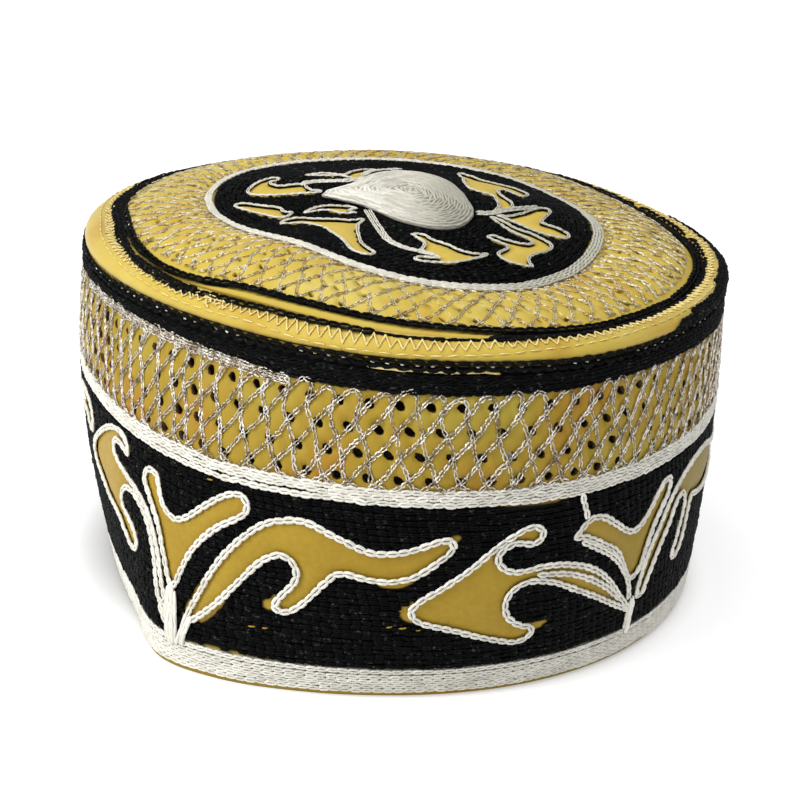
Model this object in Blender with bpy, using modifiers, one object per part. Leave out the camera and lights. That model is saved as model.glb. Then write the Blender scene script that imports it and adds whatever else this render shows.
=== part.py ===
"""A round embroidered prayer cap, resting on its rim.

The frame is in metres with +Z up. The origin is on the surface the cap rests on, under the
middle of its outline. -Y is the front, where the flames of two corners meet. A direction is an
angle about Z in degrees: 0 is +X, 90 is +Y. Sizes are in millimetres up to the last step.
"""
import math
from collections import namedtuple

import bpy
import bmesh
from mathutils import Matrix, Vector

MM = 0.001

# Driving sizes of the cap
BAND_HEIGHT = 95.0
BAND_THICKNESS = 2.0
CROWN_THICKNESS = 1.6
ROLL_INSET = 10.0
ROLL_RISE = 7.0
DOME_RISE = 5.5
CLEARANCE = 0.35

# Outer radius of the side band at three heights, for each direction round the cap.
# The hem stands out in two blunt corners, where the cloth is folded flat for storage.
Section = namedtuple("Section", "direction hem middle top")
SECTIONS = (
    Section(3, 88.0, 91.0, 89.5),
    Section(20, 87.5, 91.5, 89.5),
    Section(36, 90.0, 94.0, 90.5),
    Section(51, 98.0, 96.0, 92.5),
    Section(61, 97.0, 97.0, 94.0),
    Section(75, 93.5, 97.0, 94.5),
    Section(95, 90.0, 96.0, 93.5),
    Section(120, 88.5, 95.5, 92.0),
    Section(150, 89.5, 98.0, 95.5),
    Section(172, 87.5, 97.0, 94.5),
    Section(190, 84.0, 93.0, 92.0),
    Section(205, 84.5, 91.5, 90.0),
    Section(218, 88.5, 93.0, 89.0),
    Section(231, 98.0, 95.5, 89.0),
    Section(242, 97.5, 98.0, 90.0),
    Section(256, 93.5, 98.5, 92.5),
    Section(272, 90.0, 99.0, 95.0),
    Section(296, 87.5, 97.0, 94.5),
    Section(318, 86.5, 92.5, 90.0),
    Section(340, 86.5, 90.0, 88.5),
)
MIDDLE_LEVEL = 0.62

# How far the crown's edge stands above its level height: it sags at the front and the right
Rise = namedtuple("Rise", "direction height")
EDGE_RISES = (
    Rise(0, -3.8),
    Rise(20, -3.0),
    Rise(40, -1.8),
    Rise(55, -0.4),
    Rise(75, 0.8),
    Rise(95, 1.5),
    Rise(120, 1.5),
    Rise(140, 0.9),
    Rise(160, 0.4),
    Rise(180, 0.0),
    Rise(225, 0.0),
    Rise(241, 0.8),
    Rise(252, 0.5),
    Rise(262, -0.3),
    Rise(276, -1.4),
    Rise(290, -2.4),
    Rise(306, -3.6),
    Rise(322, -4.3),
    Rise(340, -4.5),
)

# How far the band's top edge stands above its level height: it sags at the right
RIM_RISES = (
    Rise(0, -1.0),
    Rise(40, -0.3),
    Rise(60, 0.0),
    Rise(280, 0.0),
    Rise(300, -0.8),
    Rise(320, -1.5),
    Rise(340, -1.5),
)
ROLL_YIELD = 0.07
ROLL_SEAT = 2.2

# How far the medallion's white ring stands above the crown's edge, for each direction.
RING_RISES = (
    Rise(0, 5.0),
    Rise(45, 4.0),
    Rise(90, 4.0),
    Rise(135, 5.0),
    Rise(180, 5.0),
    Rise(208, 5.5),
    Rise(234, 6.5),
    Rise(258, 4.0),
    Rise(285, 2.2),
    Rise(320, 2.3),
)

# Levels are shares of the band's height, from the hem to the roll.
FIELD_BOTTOM = 0.10
FIELD_TOP = 0.61
NET_BOTTOM = 0.66
NET_TOP = 0.925
FIELD_LEVELS = (FIELD_BOTTOM, 0.27, 0.44, FIELD_TOP)
BAND_LEVELS = (0.0,) + FIELD_LEVELS + (NET_BOTTOM, NET_TOP, 1.0)
HEM_EDGE = 1.4
JOINT_GAP = 0.3

# Shares of the way from the crown's middle to the inner edge of its black braid
RING_SHARE = 0.705
DOME_SHARES = (0.52, 0.33, 0.15)
CROWN_SHARES = (1.045, 1.0, 0.87, RING_SHARE) + DOME_SHARES
BRAID_SHARES = (1.042, 1.0)
RING_SHARES = (RING_SHARE, 0.65)
MEDALLION_SHARES = (0.645,) + DOME_SHARES
NET_PUFF = 1.5
EDGE_SLOPE = 30.0

# The medallion sits a little left of the crown's middle, and a soft crest crosses it behind
MEDALLION_SHIFT = Vector((-1.2, -1.5, 0.0))
CREST_RISE = 5.0
CREST_PLACE = 18.0
CREST_WIDTH = 20.0

BRAID_THICKNESS = 1.1
FIELD_THICKNESS = 0.8
COLUMNS = 56
CORNER_DIRECTION = 231.0

# The pierced eyelets of the net zone: every second one of three staggered rows
EYELET_DIAMETER = 2.4
EYELET_SIDES = 6
EYELETS_AROUND = 40
EYELET_ROW_PITCH = 6.3
EYELET_FIRST_HEIGHT = 64.9
EYELET_ROWS = 3
EYELET_STAGGER = 0.37

# The roll's cross-section, from its lower outer corner: inset from the band's top radius
# and height above the band's top
RollPoint = namedtuple("RollPoint", "inset height")
ROLL_SECTION = (
    RollPoint(1.6, 0.4),
    RollPoint(-0.3, 0.4),
    RollPoint(-0.9, 1.6),
    RollPoint(-0.3, 3.4),
    RollPoint(1.5, 5.0),
    RollPoint(3.6, 5.9),
    RollPoint(5.4, 5.6),
    RollPoint(5.9, 4.2),
    RollPoint(4.6, 1.8),
)

# The white boss: a padded leaf whose point is on its left, and its outline's radii
BossPoint = namedtuple("BossPoint", "direction radius")
BOSS_OUTLINE = (
    BossPoint(0, 16.7),
    BossPoint(22, 15.8),
    BossPoint(45, 16.5),
    BossPoint(70, 18.1),
    BossPoint(95, 19.5),
    BossPoint(120, 19.3),
    BossPoint(143, 18.2),
    BossPoint(160, 18.8),
    BossPoint(172, 22.5),
    BossPoint(179, 25.7),
    BossPoint(187, 21.1),
    BossPoint(199, 16.0),
    BossPoint(217, 14.0),
    BossPoint(235, 14.2),
    BossPoint(254, 16.0),
    BossPoint(273, 18.5),
    BossPoint(290, 21.3),
    BossPoint(305, 21.9),
    BossPoint(326, 20.3),
    BossPoint(345, 18.7),
)
BOSS_EDGE = 1.0
BOSS_RISE = 1.2
BOSS_SHARES = (1.0, 0.8, 0.45)

Finish = namedtuple("Finish", "colour roughness")
YELLOW_SATIN = Finish((0.66, 0.42, 0.09), 0.55)
BLACK_THREAD = Finish((0.012, 0.012, 0.012), 0.75)
WHITE_THREAD = Finish((0.80, 0.79, 0.75), 0.70)


def around(rows, column, direction):
    """Smooth closed curve through one column of a table, read at one direction."""
    turn = direction % 360.0
    count = len(rows)
    at = max((i for i in range(count) if rows[i].direction <= turn), default=-1)

    def knot(i):
        row = rows[i % count]
        return row.direction + 360.0 * (i // count), getattr(row, column)

    (x0, y0), (x1, y1), (x2, y2), (x3, y3) = (knot(at + k) for k in (-1, 0, 1, 2))
    u = (turn - x1) / (x2 - x1)
    slope_in = (y2 - y0) / (x2 - x0) * (x2 - x1)
    slope_out = (y3 - y1) / (x3 - x1) * (x2 - x1)
    return ((2 * u ** 3 - 3 * u ** 2 + 1) * y1 + (u ** 3 - 2 * u ** 2 + u) * slope_in
            + (3 * u ** 2 - 2 * u ** 3) * y2 + (u ** 3 - u ** 2) * slope_out)


def band_radius(direction, level):
    """Outer radius of the side band: a parabola through the hem, middle and top radii."""
    hem, middle, top = (around(SECTIONS, name, direction) for name in ("hem", "middle", "top"))
    m = MIDDLE_LEVEL
    return (hem * (level - m) * (level - 1) / m
            + middle * level * (level - 1) / (m * (m - 1))
            + top * level * (level - m) / (1 - m))


def polar(direction, radius, height):
    turn = math.radians(direction)
    return Vector((radius * math.cos(turn), radius * math.sin(turn), height))


def band_point(direction, level, outward=0.0):
    radius = band_radius(direction, level) + outward
    sag = around(RIM_RISES, "height", direction) * max(0.0, (level - NET_TOP) / (1 - NET_TOP))
    return polar(direction, radius, BAND_HEIGHT * level + sag)


def crown_edge_height(direction):
    """Height of the crown's edge, where its net begins."""
    return BAND_HEIGHT + ROLL_RISE + around(EDGE_RISES, "height", direction)


def crown_radius(direction, share):
    return (around(SECTIONS, "top", direction) - ROLL_INSET) * share


def crown_height(direction, share):
    """The net zone puffs up from the edge to the ring, and the medallion is a low dome."""
    inside = min(share / RING_SHARE, 1.0)
    flat = polar(direction, crown_radius(direction, share), 0.0)
    crest = CREST_RISE * (1 - inside ** 2) * math.exp(-((flat.y - CREST_PLACE) / CREST_WIDTH) ** 2)
    edge = crown_edge_height(direction)
    ring = edge + around(RING_RISES, "height", direction)
    if share >= 1.0:
        return edge - (share - 1.0) * EDGE_SLOPE
    if share >= RING_SHARE:
        inward = (1.0 - share) / (1.0 - RING_SHARE)
        return edge + (ring - edge) * inward + NET_PUFF * math.sin(math.pi * inward)
    middle = BAND_HEIGHT + ROLL_RISE + DOME_RISE
    return middle + (ring - middle) * inside ** 2 + crest


def crown_point(direction, share, up=0.0):
    height = crown_height(direction, share) + up
    moved = min((1.0 - share) / (1.0 - RING_SHARE), 1.0)
    shift = MEDALLION_SHIFT * max(moved, 0.0)
    return polar(direction, crown_radius(direction, share), height) + shift


def directions():
    return [CORNER_DIRECTION + 360.0 * i / COLUMNS for i in range(COLUMNS)]


def outline_middle():
    """Middle of the box round the band, which becomes the origin."""
    points = [band_point(d, level) for d in directions() for level in BAND_LEVELS]
    spans = [[p[axis] for p in points] for axis in (0, 1)]
    return Vector([(max(span) + min(span)) / 2 for span in spans] + [0.0])


MIDDLE = outline_middle()


def new_collection(name):
    collection = bpy.data.collections.new(name)
    bpy.context.scene.collection.children.link(collection)
    return collection


def new_material(name, finish):
    material = bpy.data.materials.new(name)
    material.use_nodes = True
    shader = material.node_tree.nodes["Principled BSDF"]
    shader.inputs["Base Color"].default_value = (*finish.colour, 1.0)
    shader.inputs["Roughness"].default_value = finish.roughness
    shader.inputs["Metallic"].default_value = 0.0
    return material


def add_object(name, shape, collection, finish=None):
    """Turns a bmesh in millimetres about the crown's middle into an object in metres."""
    bmesh.ops.translate(shape, verts=shape.verts, vec=-MIDDLE)
    bmesh.ops.scale(shape, verts=shape.verts, vec=Vector((MM, MM, MM)))
    bmesh.ops.recalc_face_normals(shape, faces=shape.faces)
    mesh = bpy.data.meshes.new(name)
    shape.to_mesh(mesh)
    shape.free()
    item = bpy.data.objects.new(name, mesh)
    collection.objects.link(item)
    if finish:
        mesh.materials.append(new_material(name, finish))
        mesh.shade_smooth()
        mesh.set_sharp_from_angle(angle=math.radians(40))
    return item


def bridge(shape, ring, other):
    """Triangles between two rings, split the same way on every layer, so that layers nest."""
    for i in range(len(ring)):
        j = (i + 1) % len(ring)
        shape.faces.new((ring[i], ring[j], other[j]))
        shape.faces.new((ring[i], other[j], other[i]))


def tube_loft(lines):
    """A closed tube: each line of points runs round the cap, and the last joins the first."""
    shape = bmesh.new()
    rings = [[shape.verts.new(point) for point in line] for line in lines]
    for i, ring in enumerate(rings):
        bridge(shape, ring, rings[(i + 1) % len(rings)])
    return shape


def layer_loft(front, back):
    """A closed layer between two surfaces, each given as lines that run round the cap."""
    shape = bmesh.new()
    sides = [[[shape.verts.new(point) for point in line] for line in side]
             for side in (front, back)]
    for side in sides:
        for ring, after in zip(side, side[1:]):
            bridge(shape, ring, after)
    for end in (0, -1):
        bridge(shape, sides[0][end], sides[1][end])
    return shape


def panel_loft(lines, middle_point):
    """An open panel: lines of points that close in on a point in its middle."""
    shape = bmesh.new()
    rings = [[shape.verts.new(point) for point in line] for line in lines]
    for ring, inner in zip(rings, rings[1:]):
        bridge(shape, ring, inner)
    fan(shape, rings[-1], middle_point)
    return shape


def fan(shape, ring, middle_point):
    middle = shape.verts.new(middle_point)
    for i in range(len(ring)):
        shape.faces.new((ring[i], ring[(i + 1) % len(ring)], middle))


def band_layer(levels, inner, outer):
    """A wall that follows the band, between two offsets from the band's outer face."""
    front, back = ([[band_point(d, level, offset) for d in directions()] for level in levels]
                   for offset in (outer, inner))
    return layer_loft(front, back)


def level_after(level, gap):
    return level + gap / BAND_HEIGHT


def braid_on_band(levels, thickness):
    """A stitched skin on the band, held a little off the cloth and off its neighbours."""
    low, *between, high = levels
    inset = (level_after(low, JOINT_GAP), *between, level_after(high, -JOINT_GAP))
    return band_layer(inset, CLEARANCE, CLEARANCE + thickness)


def crown_lines(shares, up):
    return [[crown_point(d, share, up) for d in directions()] for share in shares]


def braid_on_crown(shares):
    """A stitched ring on the crown, held a little above the cloth."""
    over = crown_lines(shares, CLEARANCE + BRAID_THICKNESS)
    return layer_loft(over, crown_lines(shares, CLEARANCE))


def crown_panel(shares, up):
    return panel_loft(crown_lines(shares, up), crown_point(0.0, 0.0, up))


def thicken(item, thickness):
    """Solidify along the normals: a negative thickness grows the cloth downward."""
    solid = item.modifiers.new("Thickness", "SOLIDIFY")
    solid.thickness = abs(thickness) * MM
    solid.offset = math.copysign(1.0, thickness)
    solid.use_even_offset = True


def roll_lines():
    """The roll sits on the band's top edge, and is pressed flatter where the crown sags."""
    lines = []
    for point in ROLL_SECTION:
        line = []
        for direction in directions():
            radius = around(SECTIONS, "top", direction) - point.inset
            rim = around(RIM_RISES, "height", direction)
            lift = around(EDGE_RISES, "height", direction) - rim
            share = max(point.inset - ROLL_SEAT, 0.0) / (ROLL_INSET - ROLL_SEAT)
            height = point.height * (1 + ROLL_YIELD * min(lift, 0.0))
            line.append(polar(direction, radius, BAND_HEIGHT + rim + height + lift * share))
        lines.append(line)
    return lines


def eyelet_cutters():
    """Short rods through the band, square to its face."""
    shape = bmesh.new()
    for row in range(EYELET_ROWS):
        height = EYELET_FIRST_HEIGHT + row * EYELET_ROW_PITCH
        for i in range(EYELETS_AROUND):
            direction = 360.0 * (i - row * EYELET_STAGGER / 2) / EYELETS_AROUND
            place = band_point(direction, height / BAND_HEIGHT, -BAND_THICKNESS / 2)
            tilt = Matrix.Rotation(math.radians(direction), 4, "Z") @ Matrix.Rotation(
                math.radians(90), 4, "Y")
            bmesh.ops.create_cone(
                shape, cap_ends=True, segments=EYELET_SIDES, depth=BAND_THICKNESS * 3,
                radius1=EYELET_DIAMETER / 2, radius2=EYELET_DIAMETER / 2,
                matrix=Matrix.Translation(place) @ tilt)
    return shape


def pierce(item, cutter):
    cutter.hide_render = True
    cutter.display_type = "WIRE"
    cut = item.modifiers.new("Eyelets", "BOOLEAN")
    cut.operation = "DIFFERENCE"
    cut.solver = "EXACT"
    cut.object = cutter


def boss_loft():
    """A padded round on the medallion: its face swells from a thin edge to the middle."""
    lift = CLEARANCE + FIELD_THICKNESS + CLEARANCE
    swell = {share: BOSS_EDGE + BOSS_RISE * (1 - share ** 2) for share in BOSS_SHARES}
    shape = bmesh.new()
    top = [boss_line(shape, share, lift + swell[share]) for share in BOSS_SHARES]
    seat = [boss_line(shape, share, lift) for share in BOSS_SHARES]
    for side, height in ((top, lift + BOSS_EDGE + BOSS_RISE), (seat, lift)):
        for ring, inner in zip(side, side[1:]):
            bridge(shape, ring, inner)
        fan(shape, side[-1], crown_point(0.0, 0.0, height))
    bridge(shape, top[0], seat[0])
    return shape


def boss_line(shape, share, up):
    return [shape.verts.new(boss_point(d, share, up)) for d in directions()]


def boss_point(direction, share, up):
    radius = around(BOSS_OUTLINE, "radius", direction)
    return crown_point(direction, share * radius / crown_radius(direction, 1.0), up)


def build():
    for item in list(bpy.data.objects):
        bpy.data.objects.remove(item, do_unlink=True)
    cap = new_collection("prayer_cap")
    cutters = new_collection("cutters")

    band = add_object("side_band", band_layer(BAND_LEVELS, -BAND_THICKNESS, 0.0),
                      cap, YELLOW_SATIN)
    pierce(band, add_object("eyelet_cutters", eyelet_cutters(), cutters))

    add_object("edge_roll", tube_loft(roll_lines()), cap, YELLOW_SATIN)
    crown = add_object("crown", crown_panel(CROWN_SHARES, 0.0), cap, YELLOW_SATIN)
    thicken(crown, -CROWN_THICKNESS)

    hem_levels = (HEM_EDGE / BAND_HEIGHT, FIELD_BOTTOM)
    add_object("white_hem_braid", braid_on_band(hem_levels, BRAID_THICKNESS), cap, WHITE_THREAD)
    add_object("black_field", braid_on_band(FIELD_LEVELS, FIELD_THICKNESS), cap, BLACK_THREAD)
    add_object("white_middle_braid", braid_on_band((FIELD_TOP, NET_BOTTOM), BRAID_THICKNESS),
               cap, WHITE_THREAD)
    add_object("black_rim_braid", braid_on_band((NET_TOP, 1.0), BRAID_THICKNESS),
               cap, BLACK_THREAD)

    add_object("black_crown_braid", braid_on_crown(BRAID_SHARES), cap, BLACK_THREAD)
    add_object("white_crown_ring", braid_on_crown(RING_SHARES), cap, WHITE_THREAD)
    medallion = add_object("black_medallion", crown_panel(MEDALLION_SHARES, CLEARANCE),
                           cap, BLACK_THREAD)
    thicken(medallion, FIELD_THICKNESS)
    add_object("crown_boss", boss_loft(), cap, WHITE_THREAD)


build()
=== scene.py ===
"""An embroidered prayer cap: satin cloth, chain stitches, a metal-thread net and a padded edge.

The cap stands on its rim, -Y is the front and the origin is under the middle of its outline.
Sizes are in millimetres about the crown's middle; place functions turn them into metres in the
CAD frame. A direction is an angle about Z in degrees: 0 is +X, 90 is +Y, 270 is the front.
"""
import math
from collections import namedtuple

import bmesh
import bpy
import numpy as np
from mathutils import Matrix, Vector


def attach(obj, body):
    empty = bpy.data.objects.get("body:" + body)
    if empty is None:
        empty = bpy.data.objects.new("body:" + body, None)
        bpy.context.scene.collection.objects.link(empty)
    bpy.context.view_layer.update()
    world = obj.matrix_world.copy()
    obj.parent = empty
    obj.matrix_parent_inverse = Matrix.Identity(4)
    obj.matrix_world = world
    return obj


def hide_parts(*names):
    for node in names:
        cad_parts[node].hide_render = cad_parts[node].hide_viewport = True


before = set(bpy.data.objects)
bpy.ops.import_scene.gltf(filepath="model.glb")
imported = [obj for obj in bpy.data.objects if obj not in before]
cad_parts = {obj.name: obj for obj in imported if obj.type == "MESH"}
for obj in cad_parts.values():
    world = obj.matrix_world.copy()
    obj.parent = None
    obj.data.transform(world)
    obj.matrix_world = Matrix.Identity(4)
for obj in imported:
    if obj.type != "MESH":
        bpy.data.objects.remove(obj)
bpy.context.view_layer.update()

MM = 0.001
MIDDLE = np.array((-2.6754, -1.4044, 0.0))


def table(columns, *rows):
    """A short table of sizes with named columns."""
    kind = namedtuple("Row", columns)
    return tuple(kind(*row) for row in rows)


# The cap's form, with the same named sizes as the CAD part
BAND_HEIGHT = 95.0
BAND_THICKNESS = 2.0
CROWN_THICKNESS = 1.6
ROLL_INSET = 10.0
ROLL_RISE = 7.0
DOME_RISE = 5.5
MIDDLE_LEVEL = 0.62
HEM_EDGE = 1.4
FIELD_BOTTOM, FIELD_TOP = 9.5, 57.95
NET_BOTTOM, NET_TOP = 62.7, 87.9
RING_SHARE = 0.705
RING_INNER = 0.65
RING_COVER = 0.014
MEDALLION_SHARE = 0.645
MEDALLION_SHIFT = np.array((-1.2, -1.5, 0.0))
NET_PUFF = 1.5
EDGE_SLOPE = 30.0
CREST_RISE, CREST_PLACE, CREST_WIDTH = 5.0, 18.0, 20.0

SECTIONS = table(
    "direction hem middle top",
    (3, 88.0, 91.0, 89.5), (20, 87.5, 91.5, 89.5), (36, 90.0, 94.0, 90.5),
    (51, 98.0, 96.0, 92.5), (61, 97.0, 97.0, 94.0), (75, 93.5, 97.0, 94.5),
    (95, 90.0, 96.0, 93.5), (120, 88.5, 95.5, 92.0), (150, 89.5, 98.0, 95.5),
    (172, 87.5, 97.0, 94.5), (190, 84.0, 93.0, 92.0), (205, 84.5, 91.5, 90.0),
    (218, 88.5, 93.0, 89.0), (231, 98.0, 95.5, 89.0), (242, 97.5, 98.0, 90.0),
    (256, 93.5, 98.5, 92.5), (272, 90.0, 99.0, 95.0), (296, 87.5, 97.0, 94.5),
    (318, 86.5, 92.5, 90.0), (340, 86.5, 90.0, 88.5),
)

EDGE_RISES = table(
    "direction height",
    (0, -3.8), (20, -3.0), (40, -1.8), (55, -0.4), (75, 0.8),
    (95, 1.5), (120, 1.5), (140, 0.9), (160, 0.4), (180, 0.0),
    (225, 0.0), (241, 0.8), (252, 0.5), (262, -0.3), (276, -1.4),
    (290, -2.4), (306, -3.6), (322, -4.3), (340, -4.5),
)
RIM_RISES = table(
    "direction height",
    (0, -1.0), (40, -0.3), (60, 0.0), (280, 0.0), (300, -0.8),
    (320, -1.5), (340, -1.5),
)
RING_RISES = table(
    "direction height",
    (0, 5.0), (45, 4.0), (90, 4.0), (135, 5.0), (180, 5.0),
    (208, 5.5), (234, 6.5), (258, 4.0), (285, 2.2), (320, 2.3),
)

# The padded edge: its section, the length round it to where the crown starts, and how it gives
# way where the crown is low and leans inside its seat
ROLL_SECTION = table(
    "inset height",
    (1.6, 0.4), (-0.3, 0.4), (-0.9, 1.6), (-0.3, 3.4), (1.5, 5.0), (3.6, 5.9), (5.4, 5.6),
    (5.9, 4.2), (4.6, 1.8),
)
ROLL_INNER_RUN = 11.7
ROLL_YIELD = 0.07
ROLL_SEAT = 2.2

# The black rim braid's lower edge, and how far it climbs round the padded edge at the right
RIM_BOTTOMS = table(
    "direction height",
    (0, 86.0), (30, 86.8), (60, 87.4), (150, 87.6), (180, 88.6),
    (200, 89.4), (215, 89.2), (241, 88.5), (254, 87.2), (285, 86.9),
    (315, 87.2), (340, 86.2),
)
RIM_CLIMB = table(
    "direction run",
    (0, 8.6), (20, 7.5), (40, 4.0), (60, 0.0), (180, 0.0),
    (300, 0.0), (312, 0.2), (318, 1.6), (322, 4.6), (326, 6.0),
    (334, 6.8), (342, 7.0), (350, 8.4),
)

# The two black rows round the crown: the inner one's share of the crown's radius, the outer
# one's place round the padded edge's section, and the outer tips of the zigzag beside it
EDGE_LINES = table(
    "direction inner outer tips",
    (0, 1.030, 11.6, 8.8), (20, 1.020, 11.6, 8.8),
    (60, 1.020, 11.6, 8.8), (120, 1.015, 11.6, 8.8),
    (155, 1.015, 11.6, 9.4), (170, 1.010, 12.8, 10.2),
    (185, 0.990, 14.8, 11.2), (197, 1.002, 13.4, 9.8),
    (205, 1.018, 11.4, 8.5), (212, 1.030, 9.8, 7.7),
    (219, 1.036, 9.0, 7.0), (228, 1.028, 7.9, 6.0),
    (236, 1.010, 9.0, 6.2), (245, 1.006, 9.4, 6.3),
    (254, 1.004, 9.2, 5.0), (262, 1.005, 8.9, 4.8),
    (272, 1.008, 8.5, 5.0), (284, 1.012, 9.0, 5.9),
    (296, 1.018, 10.2, 7.4), (310, 1.024, 11.2, 8.2),
    (335, 1.030, 11.6, 8.6),
)

BOSS_OUTLINE = table(
    "direction radius",
    (0, 16.7), (22, 15.8), (45, 16.5), (70, 18.1),
    (95, 19.5), (120, 19.3), (143, 18.2), (160, 18.8),
    (172, 22.5), (179, 25.7), (187, 21.1), (199, 16.0),
    (217, 14.0), (235, 14.2), (254, 16.0), (273, 18.5),
    (290, 21.3), (305, 21.9), (326, 20.3), (345, 18.7),
)
BOSS_LIFT = 1.5
BOSS_EDGE = 1.0
BOSS_RISE = 1.2

# Flames of the side band. Each outline goes round one flame: the turn in degrees from its
# corner of the cap, and the height above the surface the cap stands on.
ARC = 1.65
LEAF_UP_RIGHT = (
    (0, 23.5), (-2, 30.5), (-3.75, 38), (-7, 45), (-9, 48.75), (-8.25, 51.75), (-5.5, 52),
    (-4.25, 47.75), (-3, 44.5), (0, 42.75), (2.25, 44.5), (5.75, 49.5), (9.5, 54.25),
    (12, 55.5), (13.5, 52.25), (12, 49.25), (9.5, 46.5), (6.5, 42), (3.5, 35.25), (1.75, 29),
)
LEAF_UP_LEFT = (
    (-2, 26.5), (-6.75, 37), (-12, 42.75), (-15, 45.5), (-17.25, 46.25), (-15.75, 48.25),
    (-14.75, 50.5), (-11.75, 50), (-8.25, 46.25), (-4, 42), (-1.75, 42.75), (0.75, 46.75),
    (4.25, 52.75), (6.5, 53), (6.25, 49), (3, 41.75), (1.25, 34.25), (0.25, 28.5),
)
WAVED_FLAME = (
    (2.75, 14.75), (5.5, 25), (8.75, 35.5), (12.25, 43.25), (15.75, 48.75), (19, 51),
    (22.5, 51.5), (25.75, 49.25), (29, 47), (32.25, 45), (37, 45.75), (39.75, 47.5),
    (42.5, 49.25), (44, 49), (44, 46.5), (42.5, 44), (40, 40.25), (37.25, 37.75), (33.5, 37),
    (30.75, 37.75), (27.5, 38.5), (25.25, 34.75), (22, 28), (19.25, 24.75), (17.75, 26),
    (19, 30), (21, 34.25), (21.25, 38), (20, 40.75), (18.5, 41.5), (16, 39), (12.5, 32),
    (8.75, 24), (4.75, 17.25),
)
THREE_PRONGED_FLAME = (
    (-0.25, 16), (-4.25, 22.75), (-8, 29.5), (-13, 35.5), (-18.75, 38.75), (-22.75, 39.25),
    (-26.5, 38.5), (-29, 40), (-30.25, 43.5), (-29.25, 46), (-27.25, 47.5), (-24.5, 46.25),
    (-22.75, 48.5), (-24.25, 51.5), (-27.25, 50), (-30.75, 46), (-34, 40.75), (-39, 34.25),
    (-42.25, 30), (-42.75, 27.25), (-41, 24.75), (-36.5, 22.5), (-30.75, 19), (-24.5, 16.25),
    (-22.75, 17.5), (-22, 20), (-24.5, 21.5), (-27, 24.5), (-28, 29), (-27, 33.25),
    (-24.5, 35.25), (-20.25, 34), (-15.5, 30), (-10, 25), (-3.25, 18.5),
)
CURLED_FLAME = (
    (-15, 51.5), (-15.5, 54.5), (-17.5, 56), (-21.5, 55.5), (-26, 52.75), (-31.5, 47.75),
    (-36, 42.5), (-37, 39), (-35.5, 36), (-31.5, 33.75), (-28, 31.5), (-23.5, 30.5),
    (-20, 29.5), (-17.5, 27.25), (-15, 25.25), (-12.5, 25.5), (-11, 28.5), (-12.75, 31.25),
    (-15.5, 33.25), (-17.75, 34.5), (-18.5, 36.5), (-17.5, 40), (-15, 42), (-12.5, 42),
    (-9.75, 40.5), (-7.25, 37.5), (-5.75, 33.5), (-4.5, 28), (-3.75, 22), (-2.75, 17),
    (-1.5, 17.5), (-2.5, 23.5), (-3.25, 28.5), (-4.5, 34), (-6.25, 38.5), (-8.25, 41.5),
    (-11.5, 43.75), (-16, 45.5), (-19.25, 46.75), (-21.25, 48.25), (-22, 50.5),
    (-21.25, 52.25), (-19, 53), (-16.75, 52.25),
)
LONG_FLAME = (
    (1.5, 19), (1.75, 28), (2.75, 33.25), (4.25, 37.5), (6, 42.25), (8.25, 46.5),
    (10.75, 49.5), (14.25, 51.75), (18.75, 53), (25, 52.5), (31, 50), (38, 48.25), (45, 50),
    (51, 53), (57, 54.5), (62, 52.5), (63, 48.5), (61, 44.5), (58.5, 47), (54, 48),
    (48, 45), (42, 41), (35, 38.5), (28, 38), (22, 39.5), (18.5, 40.5), (17.75, 36.25),
    (17.25, 31.75), (16.75, 28), (15.25, 24.5), (13, 24.25), (12.5, 27), (13.5, 31),
    (14, 35), (14.75, 39), (14.25, 43.5), (12.5, 45), (10.5, 43.5), (8.75, 38.5),
    (7, 34.25), (5.5, 30), (4, 24), (3, 19),
)

# Slivers of bare satin beside the flames
LEFT_SLIVERS = (
    ((2.0, 16), (3.2, 21), (4.8, 26), (6.8, 31.5), (8.0, 33.5), (5.6, 25), (3.2, 15.5)),
    ((4.75, 17.25), (8.75, 24), (10.2, 26.8), (9.9, 24.6), (8.3, 20.5), (6.4, 17.2), (5.3, 16)),
    ((19, 31), (17.2, 28.5), (15.8, 26.3), (16.2, 25), (17.75, 24.8), (19.25, 24.75)),
    ((32, 37.2), (34, 35), (37, 35.3), (39, 37.8)),
    ((43, 49.5), (45.2, 50.2), (45.3, 49.5), (44.2, 48.0)),
    ((4, 9.3), (7, 9.9), (14, 9.9), (19, 9.3)),
)
RIGHT_SLIVERS = (
    ((-40, 33.5), (-43, 30.5), (-44.6, 28.2), (-44.2, 26.2), (-42.5, 24.6), (-41, 25)),
    ((-24, 21.5), (-21.5, 21.2), (-19.3, 21), (-20.2, 19.4), (-22.2, 18.2)),
    ((-33, 58.0), (-27, 57.4), (-20, 57.3), (-16, 58.0), (-20, 58.6), (-30, 58.6)),
)

# Chains that run beside the flames, and the long stitches of each corner's stem
LEFT_CHAINS = (
    ((-2.75, 17), (-2.2, 15), (-1.2, 13), (-0.6, 9.6)),
    ((-1.5, 17.5), (-1.1, 14.5), (-0.4, 12)),
)
RIGHT_CHAINS = (
    ((-15.5, 44.2), (-12, 41), (-7, 35.3), (-2.4, 26), (-1, 20)),
    ((-23, 37), (-18, 35.8), (-13, 32.3), (-8, 27), (-4, 21.5)),
    ((-16.75, 58.2), (-15.9, 54.5), (-15.25, 51.25)),
    ((-0.4, 18), (0.1, 10)),
    ((0.6, 18.5), (0.9, 10)),
)
LEFT_STEM = (
    ((-0.9, 22.5), (-0.95, 15), (-1.0, 8.4)), ((-0.45, 23.5), (-0.45, 15), (-0.5, 8.3)),
    ((0, 24), (0, 15), (0, 8.2)), ((0.45, 23.5), (0.45, 15), (0.5, 8.3)),
    ((0.9, 22), (0.95, 15), (1.0, 8.4)), ((3.2, 17.3), (2.2, 13), (1.4, 8.4)),
    ((3.6, 16.8), (2.7, 13), (1.9, 8.5)), ((4.1, 16.6), (3.2, 13), (2.3, 8.6)),
)
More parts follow.
